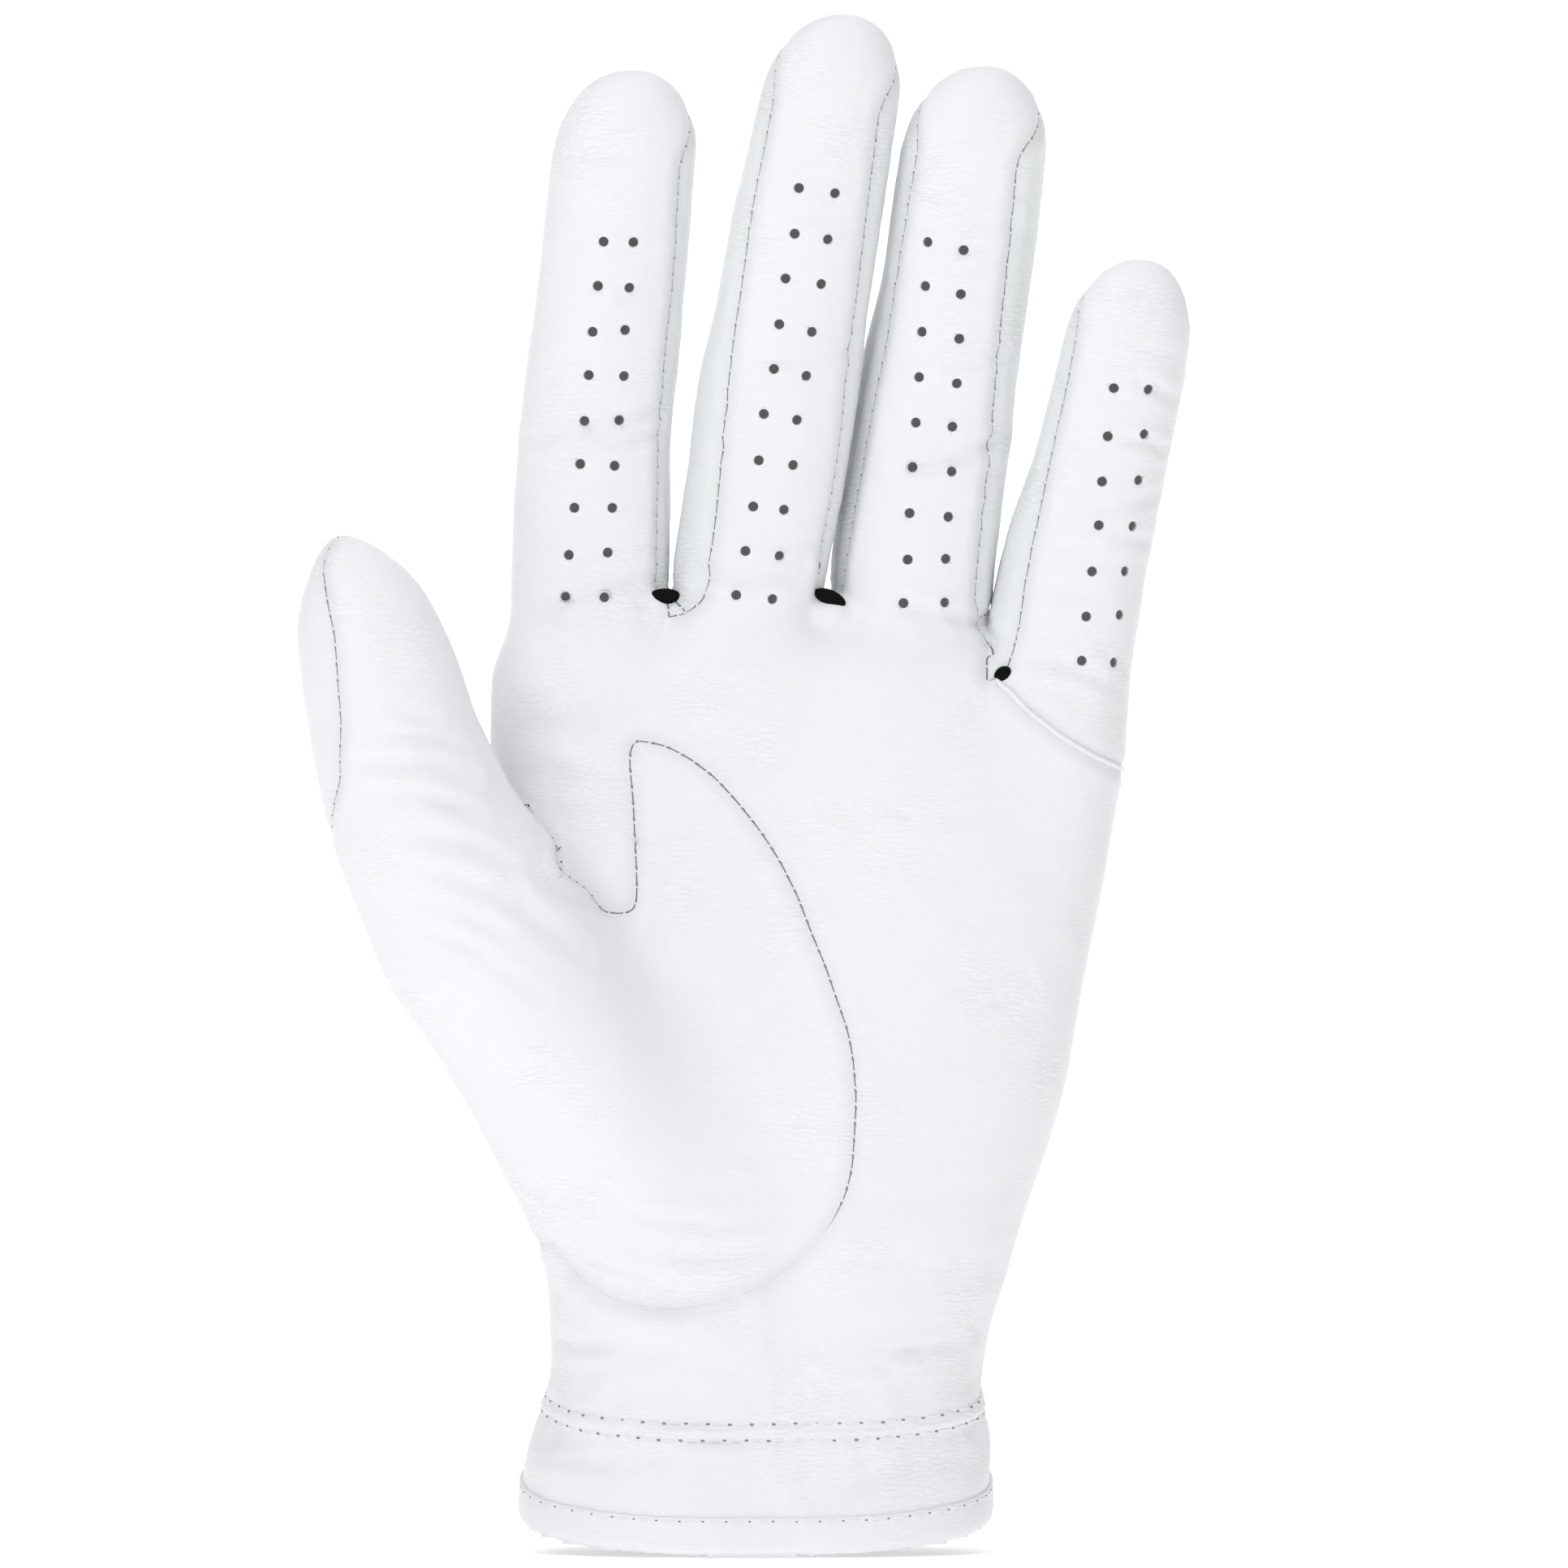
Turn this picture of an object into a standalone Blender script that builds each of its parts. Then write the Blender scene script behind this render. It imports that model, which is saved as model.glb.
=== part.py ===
"""A left-hand golf glove of thin white leather, filled out as it is on a hand.

The glove stands on its cuff with the fingers up (+Z), the palm towards -Y and the thumb towards -X.
The origin is the middle of the hand opening. Every leather panel is cut out of one thin shell that
follows the hand: the shell is an outer form less an inner one, and each panel is the piece of it
that lies inside a cutter. Sizes are in millimetres until they reach a mesh.
"""

import math

import bmesh
import bpy
from mathutils import Matrix, Vector, bvhtree

MM = 0.001
LEATHER = 0.8          # thickness of the panels
GAP = 0.3              # room between two panels that are sewn together
FAR = 80.0             # reach of a cutter that runs right through the glove

# Cuff and wrist
HEM_TILT = 0.22        # the hem is lower at the palm side: z = HEM_TILT * y
BINDING_HEIGHT = 4.6
WRIST_SEAM_Z = 16.0    # middle of the elastic, where it crosses y = 0
WRIST_TILT = 0.21      # the elastic follows the hem
ELASTIC_HEIGHT = 4.0
ROW_SPACING = 2.6      # between the two rows of stitches that hold the elastic
THREAD = 0.9           # width of a row of stitches

# Sections of the hand from the cuff to the knuckles: height, left, right, palm side, back side
BODY = [
    (-8.0, -33.0, 33.0, -23.0, 23.0),
    (5.0, -32.6, 33.3, -21.5, 21.5),
    (15.0, -29.6, 32.2, -19.0, 19.0),
    (24.0, -28.8, 33.2, -18.5, 18.5),
    (38.0, -30.8, 36.8, -18.5, 17.5),
    (52.0, -34.2, 41.8, -18.5, 16.0),
    (70.0, -36.0, 45.6, -17.5, 15.0),
    (88.0, -36.8, 48.2, -15.5, 14.0),
    (102.0, -36.2, 48.6, -13.5, 13.0),
    (112.0, -35.6, 40.0, -12.0, 12.0),
    (120.0, -34.8, 31.0, -10.8, 11.0),
    (125.5, -32.5, 29.0, -7.5, 8.0),
]
BODY_SIDES = 28

# A finger is given by the middle of its root, its tip, and half widths (across, through) at heights
# above the root. The root is level with the crotch.
FINGERS = {
    "index": {
        "root": (-23.6, -0.5, 128.5),
        "tip": (-17.2, -7.5, 202.8),
        "sections": [(-26, 10.2, 8.6), (0, 10.7, 9.6), (22, 10.9, 9.2), (45, 10.5, 9.0), (60, 9.9, 8.5)],
        "gussets": {"ulnar": 1},
        "wrap": -1,
        "knuckles": (7.0, 26.0),
    },
    "middle": {
        "root": (-1.2, -0.5, 128.5),
        "tip": (12.2, -9.0, 210.6),
        "sections": [(-26, 9.8, 8.6), (0, 10.2, 9.6), (25, 10.7, 9.4), (50, 10.6, 9.1), (67, 9.9, 8.6)],
        "gussets": {"radial": -1, "ulnar": 1},
        "wrap": 0,
        "knuckles": (7.0, 28.0),
    },
    "ring": {
        "root": (23.2, -0.5, 128.5),
        "tip": (32.0, -7.5, 203.4),
        "sections": [(-26, 9.8, 8.6), (0, 10.2, 9.5), (22, 10.5, 9.2), (45, 10.3, 8.9), (60, 9.7, 8.4)],
        "gussets": {"radial": -1, "ulnar": 1},
        "wrap": 0,
        "knuckles": (7.0, 26.0),
    },
    "little": {
        "root": (43.6, 0.5, 117.5),
        "tip": (54.2, -5.0, 176.3),
        "sections": [(-24, 8.4, 8.2), (0, 10.0, 9.0), (16, 9.7, 8.5), (32, 9.4, 8.2), (45, 8.7, 7.7)],
        "gussets": {"radial": -1},
        "wrap": 1,
        "knuckles": (6.0, 20.5),
        "knuckle_bend": 70.0,
    },
}
FINGER_SIDES = 16
GUSSETS = {             # black inserts between the fingers: x, lowest and highest z
    "crotch_gusset_index_middle": (-12.1, 125.0, 130.2),
    "crotch_gusset_middle_ring": (11.0, 125.0, 130.2),
    "crotch_gusset_ring_little": (33.4, 114.5, 120.2),
}
ROUNDNESS = 2.5        # exponent of the superellipse sections: 2 is an ellipse
FOURCHETTE = 8.0       # width of the side strip of a finger
TAPER = 20.0           # the strip narrows to nothing over this length at the fingertip
BASE_BEND = 45.0       # degrees that a finger bends at its root, and 10 the other way
KNUCKLE_BEND = 75.0
BACK_BEND = 10.0
FOLD_SLOT = 1.2        # half of a fold's height at the hinge itself

# The thumb follows a bent path from the ball of the thumb to its tip: point and radius
THUMB = [
    ((0.0, 1.5, 27.0), 8.5),
    ((-9.0, -4.5, 41.0), 12.8),
    ((-19.5, -10.0, 54.5), 15.0),
    ((-29.5, -14.6, 68.5), 15.4),
    ((-38.4, -18.4, 82.5), 15.4),
    ((-46.4, -21.0, 97.0), 13.4),
    ((-50.6, -22.5, 109.0), 12.0),
    ((-52.6, -23.0, 118.0), 11.2),
    ((-54.6, -23.3, 125.2), 9.8),
    ((-56.5, -23.5, 131.6), 6.4),
    ((-57.6, -23.5, 136.0), 2.6),
]
THUMB_SIDES = 16
THUMB_KNUCKLES = (5.0, 19.0)
THUMB_SEAM_TURN = math.radians(25)
THUMB_BASE_BEND = 25.0
THUMB_KNUCKLE_BEND = 50.0

# Outline of the thumb panel on the palm, in x and z: the peak, the curved seam and the straight one
THUMB_PEAK = (-16.8, 108.0)
THUMB_CURVE = [(-9.2, 105.6), (-2.3, 99.3), (3.5, 91.2), (8.2, 80.9), (11.5, 71.7), (13.7, 63.6),
               (14.0, 52.1), (12.6, 44.0), (8.4, 37.2), (1.2, 31.4), (-6.9, 28.6), (-13.8, 28.0),
               (-20.7, 29.7), (-26.5, 33.7), (-32.0, 41.0)]
THUMB_SEAM_FOOT = (-17.0, 84.6)
BACK_SEAM_Y = 4.0      # the palm leather wraps round both sides of the hand to here

# Diagonal seam that joins the little finger's panel to the palm
WELT = [(37.2, 114.6), (39.0, 112.9), (43.6, 109.4), (48.0, 106.9), (56.0, 103.4)]

# Closure at the back of the wrist, in x and z
SLIT_X = 4.0
SLIT_HALF_FOOT = 5.0
SLIT_HALF_HEAD = 3.2
SLIT_TOP = 56.0
SLIT_BINDING = 3.0
ANCHOR_LEFT = -28.0    # the tab is sewn down from here to its hinge line
TAB_HINGE = -20.0
TAB_RIGHT = 29.0
TAB_LOW, TAB_HIGH = 17.0, 43.0
TAB_ROUND = 9.0        # radius of the corners at its free end
HOOKS_LEFT, LOOPS_RIGHT = 10.5, 27.0
# Layers at the closure, each as its depth under and its height over the leather's outer face
LOOP_LAYER = (GAP, 1.3)
HOOK_LAYER = (1.6, 2.6)
TAB_LAYER = (2.9, 4.0)
ANCHOR_LAYER = (GAP, 1.4)
BINDING_LAYER = (-LEATHER - 0.7, 0.7)
THREAD_LAYER = (GAP, 0.8)
GUSSET_LAYER = (GAP, 1.2)
ELASTIC_LAYER = (-LEATHER - GAP - 0.9, -LEATHER - GAP)
LABEL_LAYER = (-LEATHER - 1.9, -LEATHER - 1.5)
LABEL = (-14.0, -3.0, 22.0, 38.0)

WHITE_LEATHER = ("white_leather", (0.90, 0.90, 0.92), 0.5)
FOURCHETTE_LEATHER = ("fourchette_leather", (0.86, 0.88, 0.89), 0.55)
BLACK_STRETCH = ("black_stretch", (0.012, 0.012, 0.012), 0.9)
WHITE_THREAD = ("white_thread", (0.82, 0.83, 0.85), 0.7)
ELASTIC = ("elastic", (0.85, 0.85, 0.86), 0.8)
HOOK_AND_LOOP = ("hook_and_loop", (0.84, 0.84, 0.85), 0.95)
LABEL_SATIN = ("label_satin", (0.88, 0.88, 0.90), 0.4)


# --- general helpers --------------------------------------------------------------------------

def clear_scene():
    for obj in list(bpy.data.objects):
        bpy.data.objects.remove(obj)


def new_collection(name):
    collection = bpy.data.collections.new(name)
    bpy.context.scene.collection.children.link(collection)
    return collection


def material(spec):
    name, colour, roughness = spec
    found = bpy.data.materials.get(name)
    if found:
        return found
    made = bpy.data.materials.new(name)
    made.use_nodes = True
    shader = made.node_tree.nodes["Principled BSDF"]
    shader.inputs["Base Color"].default_value = (*colour, 1.0)
    shader.inputs["Roughness"].default_value = roughness
    return made


def place(name, mesh, collection):
    obj = bpy.data.objects.new(name, mesh)
    collection.objects.link(obj)
    return obj


def helper(name, mesh):
    """A cutter or a form that other shapes are made with, and that is no piece of the glove."""
    obj = place(name, mesh, helpers)
    obj.hide_render = True
    obj.display_type = "WIRE"
    return obj


def combine(obj, operation, *others):
    for other in others:
        modifier = obj.modifiers.new(other.name, "BOOLEAN")
        modifier.operation = operation
        # EXACT loses whole panels of the thin curved shells, and MANIFOLD keeps them
        modifier.solver = "MANIFOLD"
        modifier.object = other
    return obj


def baked(obj):
    """The object's mesh with its modifiers worked in, on the same object."""
    bpy.context.view_layer.update()
    graph = bpy.context.evaluated_depsgraph_get()
    mesh = bpy.data.meshes.new_from_object(obj.evaluated_get(graph))
    obj.modifiers.clear()
    obj.data = mesh
    return obj


def loft(name, rings):
    """A closed solid through rings of the same number of points."""
    shape = bmesh.new()
    rows = [[shape.verts.new(Vector(point) * MM) for point in ring] for ring in rings]
    count = len(rings[0])
    for low, high in zip(rows, rows[1:]):
        for i in range(count):
            j = (i + 1) % count
            shape.faces.new((low[i], low[j], high[j], high[i]))
    shape.faces.new(list(reversed(rows[0])))
    shape.faces.new(rows[-1])
    bmesh.ops.triangulate(shape, faces=shape.faces[:])
    bmesh.ops.recalc_face_normals(shape, faces=shape.faces[:])
    mesh = bpy.data.meshes.new(name)
    shape.to_mesh(mesh)
    shape.free()
    return helper(name, mesh)


def prism(name, outline, low, high, axes):
    """A cutter: a flat outline pushed from low to high along the third of its axes."""
    curve = bpy.data.curves.new(name, "CURVE")
    curve.dimensions = "2D"
    curve.fill_mode = "BOTH"
    curve.extrude = (high - low) / 2 * MM
    spline = curve.splines.new("POLY")
    spline.points.add(len(outline) - 1)
    for point, (a, b) in zip(spline.points, outline):
        point.co = (a * MM, b * MM, 0.0, 1.0)
    spline.use_cyclic_u = True
    guide = place(name + "_outline", curve, helpers)
    guide.matrix_world = axes @ Matrix.Translation((0, 0, (low + high) / 2 * MM))
    bpy.context.view_layer.update()
    graph = bpy.context.evaluated_depsgraph_get()
    mesh = bpy.data.meshes.new_from_object(guide.evaluated_get(graph))
    mesh.transform(guide.matrix_world)
    bpy.data.objects.remove(guide)
    shape = bmesh.new()
    shape.from_mesh(mesh)
    bmesh.ops.remove_doubles(shape, verts=shape.verts[:], dist=1e-6)
    bmesh.ops.recalc_face_normals(shape, faces=shape.faces[:])
    shape.to_mesh(mesh)
    shape.free()
    return helper(name, mesh)


def axes_of(origin, first, second, third):
    columns = Matrix((first, second, third)).transposed().to_4x4()
    return Matrix.Translation(Vector(origin) * MM) @ columns


# Outlines in x and z, pushed along y; and in y and z, pushed along x
FROM_FRONT = axes_of((0, 0, 0), (1, 0, 0), (0, 0, 1), (0, -1, 0))
FROM_SIDE = axes_of((0, 0, 0), (0, 1, 0), (0, 0, 1), (1, 0, 0))


def superellipse(half_across, half_through, sides):
    """Points of a rounded section, from the right and towards the back."""
    points = []
    for i in range(sides):
        angle = 2 * math.pi * i / sides
        across, through = math.cos(angle), math.sin(angle)
        size = (abs(across) ** ROUNDNESS + abs(through) ** ROUNDNESS) ** (-1 / ROUNDNESS)
        points.append((half_across * across * size, half_through * through * size))
    return points


# --- the forms of the hand --------------------------------------------------------------------

def body_form(name, offset):
    """Wrist and palm, grown by offset all round."""
    rings = []
    for z, left, right, front, back in BODY:
        middle = Vector(((left + right) / 2, (front + back) / 2, 0))
        half_across, half_through = (right - left) / 2 + offset, (back - front) / 2 + offset
        # Only the domed top moves with the offset: the foot is cut off at the hem anyway
        height = z + (offset if z == BODY[-1][0] else 0)
        rings.append([
            (middle.x + a, middle.y + t, height)
            for a, t in superellipse(half_across, half_through, BODY_SIDES)
        ])
    return loft(name, rings)


def digit_axes(root, tip):
    """Across, through and along a finger, as unit vectors. Its joints turn about the first."""
    along = (Vector(tip) - Vector(root)).normalized()
    across = Vector((0, 1, 0)).cross(along).normalized()
    return across, along.cross(across), along


def finger_form(name, spec, offset):
    """One finger with its domed tip, grown by offset all round."""
    across, through, along = digit_axes(spec["root"], spec["tip"])
    length = (Vector(spec["tip"]) - Vector(spec["root"])).length
    sections = list(spec["sections"])
    last_height, last_across, last_through = sections[-1]
    dome = length - last_height
    for angle in (26, 48, 66, 80):
        rise, shrink = math.sin(math.radians(angle)), math.cos(math.radians(angle))
        sections.append((last_height + dome * rise, last_across * shrink, last_through * shrink))
    rings = []
    for height, half_across, half_through in sections:
        above = height > last_height
        narrowing = min(half_across, half_through) / min(last_across, last_through)
        grown = offset * narrowing if above else offset
        lift = offset * math.sqrt(max(0.0, 1 - (half_across / last_across) ** 2)) if above else 0.0
        centre = Vector(spec["root"]) + along * (height + lift)
        rings.append([
            centre + across * a + through * t
            for a, t in superellipse(half_across + grown, half_through + grown, FINGER_SIDES)
        ])
    return loft(name, rings)


def thumb_form(name, offset):
    """The ball of the thumb and the thumb, as a round tube along a bent path."""
    points = [Vector(p) for p, _ in THUMB]
    rings = []
    for i, (point, radius) in enumerate(THUMB):
        before, after = points[max(i - 1, 0)], points[min(i + 1, len(points) - 1)]
        along = (after - before).normalized()
        across = Vector((0, 1, 0)).cross(along).normalized()
        through = along.cross(across)
        end = i == len(THUMB) - 1
        centre = Vector(point) + along * (offset if end else 0.0)
        r = radius + (0.4 * offset if end else offset)
        ring = []
        for k in range(THUMB_SIDES):
            angle = 2 * math.pi * k / THUMB_SIDES
            ring.append(centre + across * r * math.cos(angle) + through * r * math.sin(angle))
        rings.append(ring)
    return loft(name, rings)


def shell_between(outer, inner, name):
    """The leather between two forms."""
    shell = helper(name, outer.data)
    combine(shell, "DIFFERENCE", inner)
    return baked(shell)


def palm_form(name, offset):
    """Wrist, palm and fingers in one, without the thumb."""
    hand = body_form(name, offset)
    combine(hand, "UNION", *[finger_form(f"{name}_{f}", spec, offset) for f, spec in FINGERS.items()])
    return baked(hand)


def hand_form(name, offset):
    """The whole hand in one."""
    hand = palm_form(name, offset)
    combine(hand, "UNION", thumb_form(f"{name}_thumb", offset))
    return baked(hand)


# --- cutters for the fingers ------------------------------------------------------------------

def fold_lines(height, bend):
    """The lower and upper side of the V-shaped fold at a joint, each as its half height at the
    palm side, at the hinge and at the back."""
    palm = FOLD_SLOT + FAR / 2 * math.tan(math.radians(bend / 2))
    back = FOLD_SLOT + FAR / 2 * math.tan(math.radians(BACK_BEND / 2))
    lower = [(-FAR / 2, height - palm), (0.0, height - FOLD_SLOT), (FAR / 2, height - back)]
    upper = [(-FAR / 2, height + palm), (0.0, height + FOLD_SLOT), (FAR / 2, height + back)]
    return lower, upper


def shifted(line, amount):
    return [(v, h + amount) for v, h in line]


def stretch_outline(lower, upper):
    return lower + list(reversed(upper))


def digit_stretches(heights, bends, length):
    """Outlines, through and along a digit, of its folds and of the firm stretches above them."""
    first_low, first_high = fold_lines(heights[0], bends[0])
    second_low, second_high = fold_lines(heights[1], bends[1])
    top = [(-FAR / 2, length + FAR / 2), (0.0, length + FAR / 2), (FAR / 2, length + FAR / 2)]
    base_low, base_high = shifted(first_high, GAP / 2), shifted(second_low, -GAP / 2)
    # Two steep folds may cross far outside the digit, where there is no leather to cut
    crossing = base_low[0][1] > base_high[0][1]
    if crossing:
        slope_low = (base_low[0][1] - base_low[1][1]) / base_low[0][0]
        slope_high = (base_high[0][1] - base_high[1][1]) / base_high[0][0]
        meet = (base_high[1][1] - base_low[1][1]) / (slope_low - slope_high)
        base = [(meet, base_low[1][1] + slope_low * meet), *base_low[1:], *reversed(base_high[1:])]
    else:
        base = stretch_outline(base_low, base_high)
    return {
        "base_fold": stretch_outline(shifted(first_low, GAP / 2), shifted(first_high, -GAP / 2)),
        "base": base,
        "knuckle_fold": stretch_outline(shifted(second_low, GAP / 2), shifted(second_high, -GAP / 2)),
        "tip": stretch_outline(shifted(second_high, GAP / 2), top),
        "above_root": stretch_outline(shifted(first_low, -GAP / 2), top),
    }


def seam_edges(length):
    """Half width of the side strip up the finger, as (height, half width)."""
    half = FOURCHETTE / 2
    return [(-FAR, half), (length - TAPER, half), (length - 1.0, 0.0), (length + FAR, 0.0)]


def panel_outline(side, length):
    """Everything in front of the side strips (side -1) or behind them (side 1)."""
    edge = [(side * (half + GAP / 2), height) for height, half in seam_edges(length)]
    return edge + [(side * FAR, length + FAR), (side * FAR, -FAR)]


def wrapped_outline(length):
    """In front of the seam behind a side strip: a palm panel that wraps round a finger's side."""
    edge = []
    for height, half in seam_edges(length):
        edge.append((half - GAP / 2 if half else -GAP / 2, height))
    return edge + [(-FAR, length + FAR), (-FAR, -FAR)]


def strip_outline(length):
    front = [(-(half - GAP / 2), height) for height, half in seam_edges(length)[:2]]
    back = [(half - GAP / 2, height) for height, half in seam_edges(length)[:2]]
    return front + [(0.0, length - 2.5)] + list(reversed(back))


# --- pieces -----------------------------------------------------------------------------------

def piece(name, shell, spec, keep, remove=()):
    """A piece of the glove: what of a shell lies inside every cutter of keep, less those of remove."""
    obj = place(name, shell.data, glove)
    combine(obj, "INTERSECT", *keep)
    combine(obj, "DIFFERENCE", *remove)
    baked(obj)
    tidy_mesh(obj.data)
    obj.data.materials.clear()
    obj.data.materials.append(material(spec))
    for face in obj.data.polygons:
        face.material_index = 0
    obj.data.shade_smooth()
    obj.data.set_sharp_from_angle(angle=math.radians(40))
    return obj


def tidy_mesh(mesh):
    """Joins the points that the cuts left almost on top of each other, and flattens needless edges."""
    shape = bmesh.new()
    shape.from_mesh(mesh)
    bmesh.ops.remove_doubles(shape, verts=shape.verts[:], dist=0.00003)
    flat = math.radians(0.5)
    bmesh.ops.dissolve_limit(shape, angle_limit=flat, verts=shape.verts[:], edges=shape.edges[:])
    bmesh.ops.triangulate(shape, faces=shape.faces[:])
    shape.to_mesh(mesh)
    shape.free()


def set_joint_origin(obj, point):
    """Moves the object's origin to its joint without moving its mesh."""
    shift = Vector(point) * MM
    obj.data.transform(Matrix.Translation(-shift))
    obj.location = shift


def make_finger(name, spec):
    """Panels, side strips and folds of one finger, cut from its own shell."""
    across, through, along = digit_axes(spec["root"], spec["tip"])
    length = (Vector(spec["tip"]) - Vector(spec["root"])).length
    outer = finger_form(f"{name}_outer", spec, 0.0)
    inner = finger_form(f"{name}_inner", spec, -LEATHER)
    shell = shell_between(outer, inner, f"{name}_shell")
    axes = axes_of(spec["root"], through, along, across)
    bends = (BASE_BEND, spec.get("knuckle_bend", KNUCKLE_BEND))
    stretches = digit_stretches(spec["knuckles"], bends, length)
    # Just wider than the finger, so that a cutter leaves its neighbours whole
    reach = max(half_across for _, half_across, _ in spec["sections"]) + 0.4
    cutters = {
        key: prism(f"{name}_{key}_cut", outline, -reach, reach, axes) for key, outline in stretches.items()
    }
    front = prism(f"{name}_front_cut", panel_outline(-1, length), -FAR / 4, FAR / 4, axes)
    if spec["wrap"]:
        low, high = sorted((spec["wrap"] * FAR / 4, spec["wrap"] * 2.0))
        around = prism(f"{name}_wrap_cut", wrapped_outline(length), low, high, axes)
        combine(front, "UNION", around)
        baked(front)
    behind = prism(f"{name}_behind_cut", panel_outline(1, length), -FAR / 4, FAR / 4, axes)
    joints = dict(zip(("base", "tip"), spec["knuckles"]))
    for part, height in joints.items():
        hinge = Vector(spec["root"]) + along * height
        made = [
            piece(f"{name}_{part}_palm", shell, WHITE_LEATHER, [cutters[part], front]),
            piece(f"{name}_{part}_back", shell, WHITE_LEATHER, [cutters[part], behind]),
        ]
        for side, sign in spec["gussets"].items():
            low, high = sorted((sign * 1.0, sign * FAR / 4))
            strip = prism(f"{name}_{side}_strip_cut", strip_outline(length), low, high, axes)
            made.append(
                piece(f"{name}_{part}_fourchette_{side}", shell, FOURCHETTE_LEATHER, [cutters[part], strip])
            )
        fold = "base_fold" if part == "base" else "knuckle_fold"
        made.append(piece(f"{name}_{fold}", shell, WHITE_LEATHER, [cutters[fold]]))
        for obj in made:
            set_joint_origin(obj, hinge)
    return cutters["above_root"]


def thumb_axes():
    """Root, axes and length of the thumb's free end. It bends across the palm, about +Y."""
    root, tip = Vector(THUMB[5][0]), Vector(THUMB[-1][0])
    along = (tip - root).normalized()
    across = (Vector((0, 1, 0)) - along * along.y).normalized()
    return root, across, along.cross(across), along, (tip - root).length


def make_thumb():
    """Front and back of the thumb, and its folds."""
    root, across, through, along, length = thumb_axes()
    outer, inner = thumb_form("thumb_outer", 0.0), thumb_form("thumb_inner", -LEATHER)
    shell = shell_between(outer, inner, "thumb_shell")
    axes = axes_of(root, through, along, across)
    stretches = digit_stretches(THUMB_KNUCKLES, (THUMB_BASE_BEND, THUMB_KNUCKLE_BEND), length)
    cutters = {
        key: prism(f"thumb_{key}_cut", outline, -FAR / 3, FAR / 3, axes)
        for key, outline in stretches.items()
    }
    # The seam runs up the outer side of the thumb, a little to the front, and over its tip
    seam = through * math.cos(THUMB_SEAM_TURN) - across * math.sin(THUMB_SEAM_TURN)
    side = across * math.cos(THUMB_SEAM_TURN) + through * math.sin(THUMB_SEAM_TURN)
    halves = axes_of(root, seam, along, side)
    whole = [(-FAR, -FAR), (FAR, -FAR), (FAR, FAR), (-FAR, FAR)]
    front = prism("thumb_front_cut", whole, -FAR / 2, -GAP / 2, halves)
    back = prism("thumb_back_cut", whole, GAP / 2, FAR / 2, halves)
    for part, height in zip(("base", "tip"), THUMB_KNUCKLES):
        fold = "base_fold" if part == "base" else "knuckle_fold"
        made = [
            piece(f"thumb_{part}_front", shell, WHITE_LEATHER, [cutters[part], front]),
            piece(f"thumb_{part}_back", shell, WHITE_LEATHER, [cutters[part], back]),
            piece(f"thumb_{fold}", shell, WHITE_LEATHER, [cutters[fold]]),
        ]
        for obj in made:
            set_joint_origin(obj, root + along * height)
    return cutters["above_root"]


# --- palm, thumb panel and back -----------------------------------------------------------------

def hem_outline(rise):
    """Seen from the side: everything above the hem raised by rise."""
    return [(-FAR, rise - FAR * HEM_TILT), (FAR, rise + FAR * HEM_TILT), (FAR, 200.0), (-FAR, 200.0)]


def band_outline(low, high, tilt):
    """Seen from the side: a band round the wrist between two heights, higher at the back."""
    rise = FAR * tilt
    return [(-FAR, low - rise), (FAR, low + rise), (FAR, high + rise), (-FAR, high - rise)]


def slit_outline(grow):
    """The opening at the back of the wrist: a slot that narrows to a round head."""
    head = SLIT_HALF_HEAD + grow
    foot = SLIT_HALF_FOOT + grow
    outline = [(SLIT_X - foot, -20.0)]
    centre = SLIT_TOP - SLIT_HALF_HEAD
    for step in range(9):
        angle = math.pi - math.pi * step / 8
        outline.append((SLIT_X + head * math.cos(angle), centre + head * math.sin(angle)))
    outline.append((SLIT_X + foot, -20.0))
    return outline


def ribbon_outline(line, width):
    """A strip of even width along a line of points."""
    left, right = [], []
    for i, point in enumerate(line):
        before, after = Vector(line[max(i - 1, 0)]), Vector(line[min(i + 1, len(line) - 1)])
        along = (after - before).normalized()
        side = Vector((-along.y, along.x)) * width / 2
        left.append(tuple(Vector(point) + side))
        right.append(tuple(Vector(point) - side))
    return left + list(reversed(right))


def thumb_cutter(name, grow):
    """What the thumb panel takes in: its field on the palm, the side of the hand, and the start of
    the thumb, which stands in front of the palm above the web."""
    middle = Vector((-12.0, 65.0))
    edge = [Vector(point) for point in (THUMB_PEAK, *THUMB_CURVE)]
    edge = [tuple(point + (point - middle).normalized() * grow * 1.4) for point in edge]
    web = THUMB_SEAM_FOOT[1] + grow
    start = [(THUMB_SEAM_FOOT[0] - grow, web), (edge[0][0] - grow, edge[0][1])]
    field = [*start, *edge, (-34, 60), (-34, web)]
    cutter = prism(name, field, 5.0 - grow, FAR, FROM_FRONT)
    side = [(-90, 42 - grow), (-31 + grow, 41 - grow), (-30 + grow, 60), (-30 + grow, web + 0.2),
            (-37.5 + grow, 96), (-37.5 + grow, 150), (-90, 150)]
    start = [(-60, web - 3), (-23 + grow, web - 3), (-23 + grow, 112), (-60, 112)]
    combine(
        cutter,
        "UNION",
        prism(name + "_side", side, -10.0 - grow, FAR - 1, FROM_FRONT),
        prism(name + "_start", start, 13.8 - grow, FAR - 2, FROM_FRONT),
    )
    return baked(cutter)


def layer(name, depths, form):
    """The space between two heights over the leather, as a shell."""
    low, high = depths
    return shell_between(form(name + "_out", high), form(name + "_in", low), name)


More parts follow.
